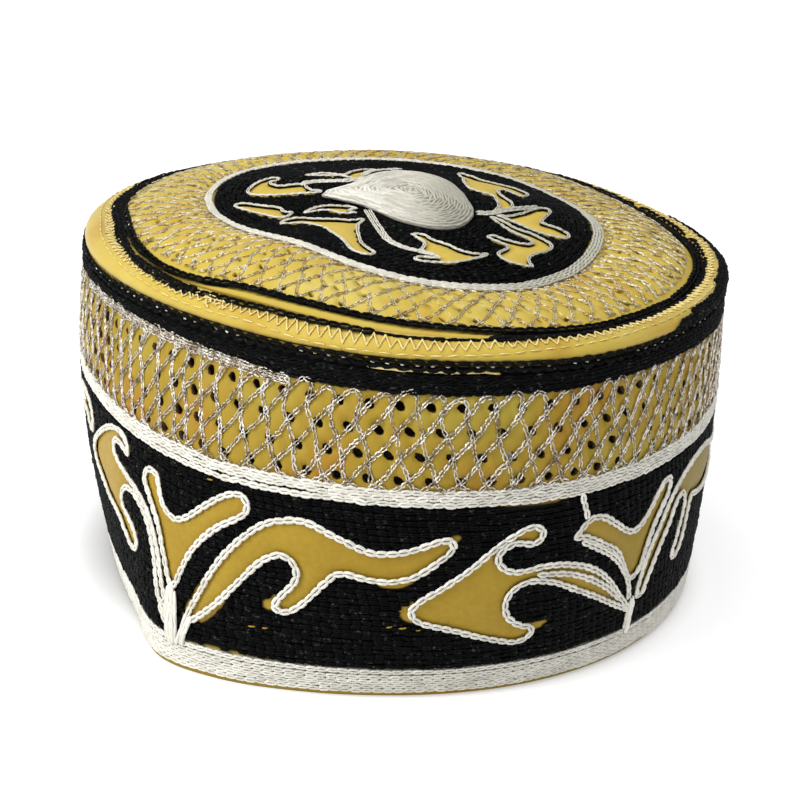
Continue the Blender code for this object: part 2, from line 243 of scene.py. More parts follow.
RIGHT_STEM = (
    ((-0.2, 18.5), (0.2, 14), (0.5, 8.6)), ((0.3, 19), (0.6, 14), (0.9, 8.6)),
)

LEFT_FLAMES = (LEAF_UP_RIGHT, WAVED_FLAME, CURLED_FLAME)
RIGHT_FLAMES = (LEAF_UP_LEFT, THREE_PRONGED_FLAME, LONG_FLAME)
LEFT_CORNER = (LEFT_FLAMES, LEFT_SLIVERS, LEFT_CHAINS, LEFT_STEM)
RIGHT_CORNER = (RIGHT_FLAMES, RIGHT_SLIVERS, RIGHT_CHAINS, RIGHT_STEM)
CORNERS = table(
    "direction flames slivers chains stem",
    (234.5, *LEFT_CORNER), (315.5, *RIGHT_CORNER), (54.5, *LEFT_CORNER), (135.5, *RIGHT_CORNER),
)

# Flames of the medallion, in millimetres right of and behind its middle
MEDALLION_FLAMES = (
    # front flame
    ((1, -25), (4, -24), (6.5, -27.5), (11, -30), (14.5, -33), (18.5, -33.5), (22, -32),
     (18.5, -36.5), (14.5, -40.5), (10.5, -43), (7, -44), (4, -45), (1.5, -43.5), (4, -41.5),
     (7, -41), (9, -40.5), (7, -39), (3.5, -37.5), (4.5, -33.5), (4.5, -30.5), (3, -28)),
    # right front flame
    ((23, -5), (25.5, -6), (30.5, -10), (35, -12), (40, -16.5), (39, -20.5), (35, -25),
     (33.5, -27.5), (33, -31), (34, -34), (30.5, -34.5), (27, -34), (25, -32), (24.5, -30),
     (26.5, -26.5), (27.5, -24.5), (27.5, -22.5), (25, -21.5), (21.5, -18.5), (23.5, -17.5),
     (27, -19), (30.5, -19.5), (33, -19.5), (35, -17), (33, -15), (29, -12.5), (25.5, -8.5)),
    # right flame
    ((25, -3.5), (28, -3), (31.5, 0), (34.5, 3.5), (36.5, 6.5), (40, 8.5), (40.5, 6.5),
     (38, -1), (37.5, -3.5), (40.5, -4), (43.5, -5.5), (45.5, -7.5), (44, -10.5),
     (40, -10.5), (35.5, -9.5), (31.5, -7), (28, -5)),
    # right back flame
    ((14.5, 46.5), (18.5, 42), (22.5, 34.5), (28.5, 31.5), (32, 28.5), (34.5, 20.5),
     (32, 14.5), (29.5, 17), (27, 18.5), (25.5, 16), (26, 11.5), (28, 9), (29.5, 5),
     (28.5, 2), (25.5, -1.5), (23.5, -2.5), (25.5, 2.5), (25, 6), (23.5, 10), (20.5, 11),
     (17.5, 12), (15.5, 18.5), (15.5, 33)),
    # left back flame
    ((-47, 4), (-45, 12.5), (-40.5, 17), (-38.5, 14), (-41.5, 12), (-38.5, 8.5), (-34.5, 9),
     (-31.5, 9.5), (-29, 5), (-25, 4.5), (-28, 3), (-29.5, 3), (-38, 1.5), (-45.5, 2)),
    # back flame
    ((-31.5, 18), (-25.5, 21.5), (-20, 18), (-18, 27), (-14.5, 38), (-11, 38.5),
     (-13.5, 26.5), (-14, 17), (-16.5, 13.5), (-19.5, 16.5), (-25.5, 17.5)),
    # left leaf
    ((-49.5, -8), (-48, -5.5), (-44, -6.5), (-41, -7.5), (-36.5, -9), (-35, -13),
     (-33, -11.5), (-33.5, -15.5), (-36, -18.5), (-39.5, -16.5), (-43.5, -13.5),
     (-47.5, -10.5)),
    # left front fin
    ((-35, -25), (-34, -20.5), (-30.5, -17.5), (-25, -18), (-19.5, -17.5), (-16, -18),
     (-12.5, -16), (-14, -21.5), (-13.5, -31.5), (-12, -39), (-8.5, -44.5), (-11, -46.5),
     (-14.5, -45), (-17, -39), (-20.5, -32.5), (-24, -26), (-29.5, -23)),
    # thin flame beside the boss
    ((-29.5, -12.5), (-27.5, -8.5), (-25.5, -6.5), (-19.5, -5.5), (-15, -7), (-18, -9),
     (-15, -10.5), (-19, -11.5), (-22, -9.5), (-25, -9.5)),
)
MEDALLION_STEMS = (
    ((-12, -8), (-10, -16.5), (-8.5, -22.5), (-4.5, -34), (0.5, -37.5), (3.5, -38), (7, -39)),
    ((19, -4), (23, -3), (26.5, 0), (31.5, 3.5), (37, 7.5)),
    ((-31.5, 9.5), (-28.5, 11), (-21, 11.5), (-13.5, 13.5), (-10, 17.5)),
    ((-14, 18.5), (-10.5, 36.5), (-4, 43.5)),
)


# Places on the cap

def around(rows, column, direction):
    """Smooth closed curve through one column of a table, read at each direction."""
    turn = np.asarray(direction, float) % 360.0
    knots = np.array([row.direction for row in rows], float)
    values = np.array([getattr(row, column) for row in rows], float)
    knots = np.concatenate((knots[-2:] - 360.0, knots, knots[:3] + 360.0))
    values = np.concatenate((values[-2:], values, values[:3]))
    at = np.searchsorted(knots, turn, side="right") - 1
    (x0, y0), (x1, y1), (x2, y2), (x3, y3) = (
        (knots[at + k], values[at + k]) for k in (-1, 0, 1, 2))
    u = (turn - x1) / (x2 - x1)
    slope_in = (y2 - y0) / (x2 - x0) * (x2 - x1)
    slope_out = (y3 - y1) / (x3 - x1) * (x2 - x1)
    return ((2 * u ** 3 - 3 * u ** 2 + 1) * y1 + (u ** 3 - 2 * u ** 2 + u) * slope_in
            + (3 * u ** 2 - 2 * u ** 3) * y2 + (u ** 3 - u ** 2) * slope_out)


def ease(low, high, value):
    share = np.clip((value - low) / (high - low), 0.0, 1.0)
    return share * share * (3 - 2 * share)


def middle_gap(direction):
    """The middle braid's lowest row leaves the others at the left of the front."""
    turn = direction % 360.0
    return ease(230.0, 240.0, turn) * (1 - ease(256.0, 266.0, turn))


def ring_narrowing(direction):
    """How far the medallion's black covers the ring's inner side: least at the front."""
    turn = direction % 360.0
    return RING_COVER + RING_COVER * ease(15.0, 45.0, turn) * (1 - ease(205.0, 235.0, turn))


def polar(direction, radius, height):
    turn = np.radians(direction)
    place = np.stack(np.broadcast_arrays(
        radius * np.cos(turn), radius * np.sin(turn), height), axis=-1)
    return (place - MIDDLE) * MM


def band_place(direction, height, out=0.0):
    """Points on the side band's outer face: a parabola through hem, middle and top."""
    level = height / BAND_HEIGHT
    hem, middle, top = (around(SECTIONS, name, direction) for name in ("hem", "middle", "top"))
    m = MIDDLE_LEVEL
    radius = (hem * (level - m) * (level - 1) / m + middle * level * (level - 1) / (m * (m - 1))
              + top * level * (level - m) / (1 - m))
    sag = (around(RIM_RISES, "height", direction)
           * np.maximum(0.0, (height - NET_TOP) / (BAND_HEIGHT - NET_TOP)))
    return polar(direction, radius + out, height + sag)


def crown_radius(direction, share):
    return (around(SECTIONS, "top", direction) - ROLL_INSET) * share


def crown_height(direction, share):
    inside = np.minimum(share / RING_SHARE, 1.0)
    depth = crown_radius(direction, share) * np.sin(np.radians(direction))
    crest = CREST_RISE * (1 - inside ** 2) * np.exp(-((depth - CREST_PLACE) / CREST_WIDTH) ** 2)
    edge = BAND_HEIGHT + ROLL_RISE + around(EDGE_RISES, "height", direction)
    ring = edge + around(RING_RISES, "height", direction)
    inward = (1.0 - share) / (1.0 - RING_SHARE)
    net = edge + (ring - edge) * inward + NET_PUFF * np.sin(math.pi * inward)
    middle = BAND_HEIGHT + ROLL_RISE + DOME_RISE
    dome = middle + (ring - middle) * inside ** 2 + crest
    return np.where(share >= 1.0, edge - (share - 1.0) * EDGE_SLOPE,
                    np.where(share >= RING_SHARE, net, dome))


def crown_place(direction, inward, up=0.0):
    """Points on the crown; inward is the share of the way from its edge to its middle."""
    share = 1.0 - np.asarray(inward, float)
    place = polar(direction, crown_radius(direction, share), crown_height(direction, share) + up)
    moved = np.clip(inward / (1.0 - RING_SHARE), 0.0, 1.0)
    return place + np.multiply.outer(moved, MEDALLION_SHIFT * MM)


def medallion_place(x, y, up=0.0):
    direction = np.degrees(np.arctan2(y, x))
    return crown_place(direction, 1.0 - np.hypot(x, y) / crown_radius(direction, 1.0), up)


def surface(place, a, b, up):
    """Points on a surface and the directions that stand square to it."""
    step = 0.01
    # the second number of crown_place is a share, not millimetres
    step_over = step * MM if place is crown_place else step
    along = place(a + step, b) - place(a - step, b)
    over = place(a, b + step_over) - place(a, b - step_over)
    normal = np.cross(along, over)
    return place(a, b, up), normal / np.linalg.norm(normal, axis=-1, keepdims=True)


def lengths(points):
    """Length of a line of points, up to each of them."""
    return np.concatenate(([0.0], np.cumsum(np.linalg.norm(np.diff(points, axis=0), axis=1))))


def read_along(at, run, values):
    """Values of a line of points, read at lengths along it."""
    return np.stack([np.interp(at, run, column) for column in values.T], axis=-1)


def smooth_path(points, closed=False, spacing=0.4):
    """Smooth curve through chart points, in short even steps."""
    knots = np.array(points, float)
    if closed:
        knots = np.concatenate((knots[-1:], knots, knots[:2]))
    else:
        knots = np.concatenate((2 * knots[:1] - knots[1:2], knots,
                                2 * knots[-1:] - knots[-2:-1]))
    times = np.concatenate(([0.0], np.cumsum(
        np.sqrt(np.linalg.norm(np.diff(knots, axis=0), axis=1)))))
    pieces = []
    for i in range(1, len(knots) - 2):
        p0, p1, p2, p3 = knots[i - 1:i + 3]
        t0, t1, t2, t3 = times[i - 1:i + 3]
        chord = (p2 - p1) / (t2 - t1)
        leave = ((p1 - p0) / (t1 - t0) - (p2 - p0) / (t2 - t0) + chord) * (t2 - t1)
        arrive = (chord - (p3 - p1) / (t3 - t1) + (p3 - p2) / (t3 - t2)) * (t2 - t1)
        count = max(2, round(float(np.linalg.norm(p2 - p1)) / spacing))
        u = (np.arange(count) / count)[:, None]
        pieces.append((2 * u ** 3 - 3 * u ** 2 + 1) * p1 + (u ** 3 - 2 * u ** 2 + u) * leave
                      + (3 * u ** 2 - 2 * u ** 3) * p2 + (u ** 3 - u ** 2) * arrive)
    pieces.append(knots[1:2] if closed else knots[-2:-1])
    return np.concatenate(pieces)


FAR = 9.0


def depth_inside(x, y, outline):
    """Distance in millimetres to an outline, positive inside it, or -FAR well away from it."""
    depth = np.full(x.shape, -FAR)
    low, high = outline.min(axis=0) - FAR, outline.max(axis=0) + FAR
    near = (x > low[0]) & (x < high[0]) & (y > low[1]) & (y < high[1])
    if not near.any():
        return depth
    p = np.stack((x[near], y[near]), axis=-1)[:, None, :]
    start, end = outline[:-1], outline[1:]
    run = end - start
    part = np.clip(((p - start) * run).sum(-1) / np.maximum((run ** 2).sum(-1), 1e-9), 0, 1)
    distance = np.linalg.norm(p - start - part[..., None] * run, axis=-1).min(axis=1)
    above = (start[:, 1] > p[..., 1]) != (end[:, 1] > p[..., 1])
    rise = np.where(run[:, 1] == 0, 1e-9, run[:, 1])
    cross = above & (p[..., 0] < start[:, 0] + (p[..., 1] - start[:, 1]) * run[:, 0] / rise)
    inside = cross.sum(axis=1) % 2 == 1
    depth[near] = np.maximum(np.where(inside, distance, -distance), -FAR)
    return depth


BAND_OUTLINES = {
    flame: smooth_path([(turn * ARC, height) for turn, height in flame], closed=True)
    for flame in LEFT_FLAMES + RIGHT_FLAMES + LEFT_SLIVERS + RIGHT_SLIVERS}
MEDALLION_OUTLINES = [smooth_path(flame, closed=True) for flame in MEDALLION_FLAMES]


def band_flame_depth(direction, height):
    depth = np.full(direction.shape, -FAR)
    for corner in CORNERS:
        turn = (direction - corner.direction + 180.0) % 360.0 - 180.0
        for flame in corner.flames + corner.slivers:
            outline = BAND_OUTLINES[flame]
            depth = np.maximum(depth, depth_inside(turn * ARC, height, outline))
    return depth


def medallion_flame_depth(x, y):
    return np.max([depth_inside(x, y, outline) for outline in MEDALLION_OUTLINES], axis=0)


# Finishes

class Signal:
    """A shader value that can be used in sums."""

    def __init__(self, finish, socket):
        self.finish, self.socket = finish, socket

    def __add__(self, other):
        return self.finish.sum("ADD", self, other)

    def __mul__(self, other):
        return self.finish.sum("MULTIPLY", self, other)

    def __sub__(self, other):
        return self.finish.sum("SUBTRACT", self, other)

    def __rsub__(self, other):
        return self.finish.sum("SUBTRACT", other, self)

    __radd__ = __add__
    __rmul__ = __mul__


class Finish:
    """A material whose nodes are added by kind, settings and inputs."""

    def __init__(self, name, **fixed):
        self.material = bpy.data.materials.new(name)
        self.material.use_nodes = True
        self.tree = self.material.node_tree
        self.shader = self.tree.nodes["Principled BSDF"]
        for socket, value in fixed.items():
            self.shader.inputs[socket.replace("_", " ")].default_value = value

    def add(self, kind, inputs=(), out=0, **settings):
        node = self.tree.nodes.new(kind)
        stops = settings.pop("stops", None)
        for name, value in settings.items():
            setattr(node, name, value)
        if stops:
            ramp = node.color_ramp
            while len(ramp.elements) < len(stops):
                ramp.elements.new(0.5)
            for element, (place, shade) in zip(ramp.elements, stops):
                element.position, element.color = place, shade
        for socket, value in dict(inputs).items():
            self.feed(node.inputs[socket], value)
        return Signal(self, node.outputs[out])

    def feed(self, socket, value):
        if isinstance(value, Signal):
            self.tree.links.new(value.socket, socket)
        else:
            socket.default_value = value

    def sum(self, operation, first, second, clamp=False):
        return self.add("ShaderNodeMath", {0: first, 1: second}, operation=operation,
                        use_clamp=clamp)

    def clamp(self, value):
        return self.sum("ADD", value, 0.0, clamp=True)

    def blend(self, factor, first, second):
        """Mixes two colours."""
        return self.add("ShaderNodeMix", {0: factor, 6: first, 7: second}, out=2,
                        data_type="RGBA")

    def attribute(self, name):
        return self.add("ShaderNodeAttribute", out=2, attribute_name=name)

    def place(self):
        return self.add("ShaderNodeTexCoord", out=3)

    def across(self):
        """Metres to the right of the cap's middle."""
        return self.add("ShaderNodeSeparateXYZ", {0: self.place()}, out=0)

    def along_thread(self):
        return self.add("ShaderNodeUVMap", uv_map="thread")

    def noise(self, scale, detail=2.0, rough=0.5):
        return self.add("ShaderNodeTexNoise", {
            "Vector": self.place(), "Scale": scale, "Detail": detail, "Roughness": rough})

    def ridges(self, vector, scale, distortion, detail_scale=1.0):
        """Slanting ridges: the twill of a cloth, or the ply of a thread."""
        return self.add("ShaderNodeTexWave", {
            "Vector": vector, "Scale": scale, "Distortion": distortion, "Detail": 1.0,
            "Detail Scale": detail_scale}, out=1, bands_direction="DIAGONAL")

    def paint(self, colour=None, roughness=None, height=None, strength=0.3, distance=0.0002,
              metallic=None):
        for name, value in (("Base Color", colour), ("Roughness", roughness),
                            ("Metallic", metallic)):
            if value is not None:
                self.feed(self.shader.inputs[name], value)
        if height is not None:
            bump = self.add("ShaderNodeBump", {
                "Height": height, "Strength": strength, "Distance": distance})
            self.feed(self.shader.inputs["Normal"], bump)
        return self.material


def rgb(red, green, blue):
    return (red, green, blue, 1.0)


# One satin in painted light and shade: the crown's and the padded edge's satin and flames are
# painted lighter, as lit from above, and the upright band's satin and flames and the inner faces
# are painted darker, as shaded.
LIT_SATIN = (rgb(0.45, 0.29, 0.040), rgb(0.50, 0.365, 0.060), rgb(0.54, 0.425, 0.100))
SHADED_SATIN = (rgb(0.34, 0.175, 0.016), rgb(0.335, 0.225, 0.024), rgb(0.36, 0.275, 0.038))
LIT_FLAME = (rgb(0.50, 0.350, 0.050), rgb(0.55, 0.405, 0.080))
SHADED_FLAME = (rgb(0.320, 0.200, 0.018), rgb(0.385, 0.255, 0.027))
# Painted shade: the band's flames turn to this darker colour on the cap's right side
FLAME_SHADE_AT_RIGHT = rgb(0.240, 0.175, 0.026)
BLACK = rgb(0.0018, 0.0020, 0.0019)
BLACK_LIGHT = rgb(0.0055, 0.0060, 0.0056)
BLACK_GLINT = rgb(0.06, 0.06, 0.055)
WHITE = rgb(0.86, 0.835, 0.75)
WHITE_SHADE = rgb(0.66, 0.64, 0.56)
CROWN_WHITE = rgb(0.70, 0.675, 0.58)
CROWN_SHADE = rgb(0.50, 0.48, 0.40)
BOSS_WHITE = rgb(0.84, 0.82, 0.74)
BOSS_SHADE = rgb(0.46, 0.44, 0.36)


def satin(name, colours, flame=None, sheen=0.0, side=None):
    """Yellow satin: a fine twill, slow shifts of colour, and the threads' colour under them.

    The flames are a deeper yellow between two colours, and at the right they turn to side's
    colour: painted shade on the cap's right side.
    """
    cloth = Finish(name, Sheen_Weight=sheen, Sheen_Roughness=0.35, Specular_IOR_Level=0.13)
    deep, middle, pale = colours
    slow = cloth.noise(38.0, 3.0)
    weave = cloth.ridges(cloth.place(), 900.0, 2.0, 2.0)
    colour = cloth.add("ShaderNodeValToRGB", {0: slow}, stops=(
        (0.32, deep), (0.46, middle), (0.55, middle), (0.68, pale)))
    rough = 0.42 + slow * 0.16
    if flame:
        uneven = cloth.clamp(cloth.noise(55.0, 2.0) * 1.2 + cloth.noise(600.0) * 1.4 - 0.8)
        orange = cloth.blend(uneven, *flame)
        # painted shade: the flames darken from 48 to 88 mm right of the cap's middle
        if side:
            orange = cloth.blend(cloth.clamp(cloth.across() * 25.0 - 1.2), orange, side)
        colour = cloth.blend(cloth.clamp(cloth.attribute("flame_cover")), colour, orange)
        black = cloth.clamp(cloth.attribute("black_cover") * 1.6 + 0.5)
        white = cloth.clamp(cloth.attribute("white_cover") * 1.6 + 0.5)
        colour = cloth.blend(black, colour, BLACK)
        colour = cloth.blend(white, colour, WHITE_SHADE)
        rough = rough + black * 0.3
    return cloth.paint(colour, rough, weave * 0.5 + cloth.noise(700.0), 0.25, 0.00015)


def thread(name, light, shade, roughness, sheen, specular=0.4, glint=None, shade_to_right=None):
    """Twisted thread: light and dark links, with the ply running round each strand.

    The last argument is a place, in millimetres to the right, and the colour that the thread has
    past it: painted shade, darker towards the cap's right side.
    """
    yarn = Finish(name, Sheen_Weight=sheen, Sheen_Roughness=0.4, Specular_IOR_Level=specular)
    ply = yarn.ridges(yarn.along_thread(), 1.6, 0.6)
    fleck = yarn.noise(1500.0, 2.0)
    tone = yarn.attribute("tone")
    colour = yarn.blend(yarn.clamp(tone * 0.8 + fleck * 0.5 - 0.15), shade, light)
    if glint:
        spark = yarn.noise(900.0, 1.0) * 6.0 - 4.1 + tone * 0.5
        colour = yarn.blend(yarn.clamp(spark), colour, glint)
    # painted shade: the thread turns grey towards the cap's right side
    if shade_to_right:
        middle, grey = shade_to_right
        past = yarn.clamp(yarn.across() * 40.0 + 0.5 - middle * 0.04)
        colour = yarn.blend(past, colour, grey)
    return yarn.paint(colour, roughness + fleck * 0.1, ply + fleck * 0.4, 0.45, 0.00018)


SILVER_TONES = (rgb(0.16, 0.11, 0.06), rgb(0.45, 0.37, 0.26), rgb(0.76, 0.71, 0.61),
                rgb(1.0, 0.98, 0.92))
GOLD_TONES = (rgb(0.28, 0.18, 0.05), rgb(0.54, 0.41, 0.18), rgb(0.78, 0.69, 0.46),
              rgb(0.97, 0.93, 0.78))


def metal_thread(name, tones):
    """Flat metal foil wound round a thread: each turn glints bright, grey or brown."""
    foil = Finish(name, IOR=1.6)
    turns = foil.ridges(foil.along_thread(), 2.4, 1.5)
    fleck = foil.noise(950.0, 3.0, 0.75)
    tone = foil.attribute("tone")
    shine = foil.clamp(fleck + tone * 0.16 - 0.08)
    colour = foil.add("ShaderNodeValToRGB", {0: shine},
                      stops=tuple(zip((0.36, 0.45, 0.52, 0.61), tones)))
    return foil.paint(colour, 0.25 + fleck * 0.25, turns + fleck * 0.6, 0.6, 0.0002,
                      metallic=foil.clamp(shine * 2.0 - 0.55))


def shade_inside_eyelets():
    """Painted shade: the dark brown edge inside each eyelet, dark as the hole into the shaded
    inside of the cap.
    """
    edge = Finish("eyelet_shade", Roughness=0.9)
    return edge.paint(edge.blend(edge.noise(900.0), rgb(0.030, 0.013, 0.005),
                                 rgb(0.075, 0.034, 0.012)))


FINISHES = {
    # Band and inner-face satin in painted shade, crown and padded-edge satin in painted light
    "band_satin": satin("band_satin", SHADED_SATIN, SHADED_FLAME, side=FLAME_SHADE_AT_RIGHT),
    "crown_satin": satin("crown_satin", LIT_SATIN, LIT_FLAME),
    "yellow_satin": satin("yellow_satin", SHADED_SATIN),
    "roll_satin": satin("roll_satin", LIT_SATIN, sheen=0.35),
    "eyelet_shade": shade_inside_eyelets(),
    "black_thread": thread("black_thread", BLACK_LIGHT, BLACK, 0.6, 0.0, 0.05, BLACK_GLINT),
    "white_thread": thread("white_thread", WHITE, WHITE_SHADE, 0.55, 0.1),
    # The boss and the crown's white thread get painted shade towards the right
    "boss_thread": thread("boss_thread", BOSS_WHITE, BOSS_SHADE, 0.45, 0.1,
                          shade_to_right=(0.0, rgb(0.36, 0.345, 0.275))),
    "crown_white": thread("crown_white", CROWN_WHITE, CROWN_SHADE, 0.55, 0.1,
                          shade_to_right=(22.0, rgb(0.46, 0.445, 0.36))),
    "yellow_thread": thread("yellow_thread", rgb(0.84, 0.70, 0.30), rgb(0.64, 0.48, 0.15),
                            0.45, 0.1),
    "silver_thread": metal_thread("silver_thread", SILVER_TONES),
    "gilt_thread": metal_thread("gilt_thread", GOLD_TONES),
}


# The cloth

def add_piece(name, mesh, finish, slot, *nodes):
    piece = bpy.data.objects.new(name, mesh)
    bpy.context.scene.collection.objects.link(piece)
    mesh.materials.append(FINISHES[finish])
    mesh.shade_smooth()
    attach(piece, "root")
    if nodes:
        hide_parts(*nodes)
    return piece


def flat_sheet(columns, rows):
    """A sheet of squares one unit wide, from (0, 0) to (columns, rows)."""
    shape = bmesh.new()
    bmesh.ops.create_grid(shape, x_segments=columns, y_segments=rows, size=0.5)
    bmesh.ops.translate(shape, verts=shape.verts, vec=Vector((0.5, 0.5, 0.0)))
    bmesh.ops.scale(shape, verts=shape.verts, vec=Vector((columns, rows, 1.0)))
    return shape


def read_squares(shape):
    """The column and the row of each of the sheet's corners."""
    return np.array([corner.co.xy for corner in shape.verts]).T


def move_to(shape, places):
    for corner, place in zip(shape.verts, places):
        corner.co = place


def to_mesh(shape, name):
    """Turns the faces outwards and makes the shape a mesh."""
    bmesh.ops.recalc_face_normals(shape, faces=shape.faces)
    mesh = bpy.data.meshes.new(name)
    shape.to_mesh(mesh)
    shape.free()
    return mesh


# Eyelets lie every few columns of the sheet, in four rows that are staggered by some degrees
EYELET_COLUMNS, EYELET_ROWS, EYELET_ROW_STEP = 6, 4, 4
BAND_EYELETS, CROWN_EYELETS = table("first_row radius stagger", (41, 1.3, 1.665), (4, 0.8, 2.2))


def pierce(shape, eyelets, wide, high):
    """Opens the eyelets: a corner goes, and the eight round it draw in to a circle.

    One square of the sheet is so many millimetres wide and high.
    """
    centres = []
    for corner in shape.verts:
        column, row = round(corner.co.x), round(corner.co.y)
        line, rest = divmod(row - eyelets.first_row, EYELET_ROW_STEP)
        if column > 0 and column % EYELET_COLUMNS == 0 and rest == 0 and 0 <= line < EYELET_ROWS:
            centres.append(corner)
    for centre in centres:
        ring = {other for face in centre.link_faces for other in face.verts} - {centre}
        for other in ring:
            way = other.co - centre.co
            way = Vector((way.x * wide, way.y * high)).normalized() * eyelets.radius
            other.co.x = centre.co.x + way.x / wide
            other.co.y = centre.co.y + way.y / high
    bmesh.ops.delete(shape, geom=centres, context="VERTS")


def eyelet_lean(row, eyelets):
    """How far the sheet's columns lean, so that the staggered eyelets fall on its corners."""
    rows = np.clip(row - eyelets.first_row, 0, (EYELET_ROWS - 1) * EYELET_ROW_STEP)
    return eyelets.stagger / EYELET_ROW_STEP * rows


def weld(shape):
    """Closes the seam, and says which of the sheet's corners are left."""
    label = shape.verts.layers.int.new("number")
    for number, corner in enumerate(shape.verts):
        corner[label] = number
    bmesh.ops.remove_doubles(shape, verts=shape.verts, dist=1e-6)
    keep = [corner[label] for corner in shape.verts]
    shape.verts.layers.int.remove(shape.verts.layers.int["number"])
    return keep


def finish_cloth(shape, name, covers, thickness, finish, edge, *nodes):
    mesh = to_mesh(shape, name)
    piece = add_piece(name, mesh, finish, "yellow_satin", *nodes)
    mesh.materials.append(FINISHES["yellow_satin"])
    mesh.materials.append(FINISHES[edge])
    wall = piece.modifiers.new("Wall", "SOLIDIFY")
    wall.thickness = thickness * MM
    wall.offset = -1.0
    wall.material_offset = 1
    wall.material_offset_rim = 2
    wall.use_even_offset = True
    for label, values in covers.items():
        mesh.attributes.new(label, "FLOAT", "POINT").data.foreach_set("value", values)


NET_RUNS, CROWN_NET_RUNS = 92, 78
NET_LEANS = (0.80, -0.32)
CROWN_ARC = ARC * 0.87
NET_PITCH = 360.0 / NET_RUNS * ARC
CROWN_NET_PITCH = 360.0 / CROWN_NET_RUNS * CROWN_ARC


def lane_distance(along, rise, pitch, lean):
    """Distance across to the nearest of the net's slanted lines."""
    across = (along - rise * lean) % pitch
    return np.minimum(across, pitch - across)


def net_puff(along, rise, height, pitch):
    """Cloth swells between the net's lines, and lies flat at the net's edges."""
    gap = np.minimum(*(lane_distance(along, rise, pitch, lean) for lean in NET_LEANS))
    edge = np.clip(np.minimum(rise, height - rise) / 2.5, 0.0, 1.0)
    return 0.75 * np.sin(np.clip(gap / (pitch * 0.3), 0, 1) * math.pi / 2) * edge


def flame_puff(depth):
    return 0.7 * (1 - np.exp(-np.maximum(depth - 0.6, 0.0) / 1.6))


def make_band():
    columns, rows = 480, 60
    shape = flat_sheet(columns, rows)
    per_column = 360.0 / columns
    per_row = BAND_HEIGHT / rows
    pierce(shape, BAND_EYELETS, per_column * ARC, per_row)
    column, row = read_squares(shape)
    direction = column * per_column - eyelet_lean(row, BAND_EYELETS)
    height = row * per_row
    depth = band_flame_depth(direction, height)
    out = flame_puff(depth) + net_puff(direction * ARC, height - NET_BOTTOM,
                                       NET_TOP - NET_BOTTOM, NET_PITCH)
    move_to(shape, band_place(direction, height, out))
    # how far inside the black and the white stitching each corner lies, in millimetres
    field = np.minimum(height - FIELD_BOTTOM + 0.4, FIELD_TOP + 0.2 - height)
    rim = np.minimum(height - around(RIM_BOTTOMS, "height", direction) - 0.3, 94.2 - height)
    black = np.maximum(np.minimum(field, -depth), rim)
    braid = np.minimum(height - FIELD_TOP - 0.3, NET_BOTTOM - 0.4 - height)
    black = np.maximum(black, braid - 3.0 * (1 - middle_gap(direction)))
    white = np.maximum(np.minimum(height - HEM_EDGE - 0.4, FIELD_BOTTOM - 0.3 - height),
                       braid - 3.0 * middle_gap(direction))
    keep = weld(shape)
    covers = {"black_cover": black[keep], "white_cover": white[keep],
              "flame_cover": np.clip(depth[keep] + 2.0, 0.0, 1.0)}
    finish_cloth(shape, "side_band_cloth", covers, BAND_THICKNESS, "band_satin", "eyelet_shade",
                 "side_band")


CROWN_COLUMNS, CROWN_ROWS, NET_ROWS, EDGE_ROWS = 360, 60, 18, 2
CROWN_COLUMN_WIDTH = 1.25
CROWN_EDGE_SHARE = 1.045


def crown_inward(row):
    """Even rows in each zone of the crown: past its edge, under the net, and to its middle."""
    return np.interp(row, (0, EDGE_ROWS, EDGE_ROWS + NET_ROWS, CROWN_ROWS),
                     (1 - CROWN_EDGE_SHARE, 0.0, 1 - RING_SHARE, 1.0))


def make_crown():
    shape = flat_sheet(CROWN_COLUMNS, CROWN_ROWS)
    row_size = crown_radius(270.0, 1.0) * (1 - RING_SHARE) / NET_ROWS
    pierce(shape, CROWN_EYELETS, CROWN_COLUMN_WIDTH, float(row_size))
    column, row = read_squares(shape)
    direction = column - eyelet_lean(row, CROWN_EYELETS)
    inward = crown_inward(row)
    radius = crown_radius(direction, 1 - inward)
    x, y = radius * np.cos(np.radians(direction)), radius * np.sin(np.radians(direction))
    depth = np.where(inward > 1 - RING_INNER, medallion_flame_depth(x, y), -FAR)
    reach = crown_radius(direction, 1.0)
    rise = inward * reach
    width = (1 - RING_SHARE) * reach
    up = flame_puff(depth) + net_puff(direction * CROWN_ARC, rise, width, CROWN_NET_PITCH)
    move_to(shape, crown_place(direction, inward, up))
    off = (1 - inward - around(EDGE_LINES, "inner", direction)) * reach
    turn = direction % 360.0
    apart = ease(155.0, 165.0, turn) * (1 - ease(284.0, 292.0, turn))
    edge = 1.1 + np.where(off > 0, -off * apart, off)
    narrow = ring_narrowing(direction)
    black = np.maximum(np.minimum((inward - 1 + MEDALLION_SHARE + narrow) * reach,
                                  0.4 - depth), edge)
    white = np.minimum(inward - 1 + RING_SHARE, 1 - RING_INNER - narrow - inward) * reach - 0.2
    keep = weld(shape)
    covers = {"black_cover": black[keep], "white_cover": white[keep],
              "flame_cover": np.clip(depth[keep] + 2.0, 0.0, 1.0)}
    finish_cloth(shape, "crown_cloth", covers, CROWN_THICKNESS, "crown_satin", "yellow_satin",
                 "crown")


ROLL_PATH = smooth_path(ROLL_SECTION, closed=True, spacing=0.25)
ROLL_RUN = lengths(ROLL_PATH)
ROLL_GIRTH = float(ROLL_RUN[-1])


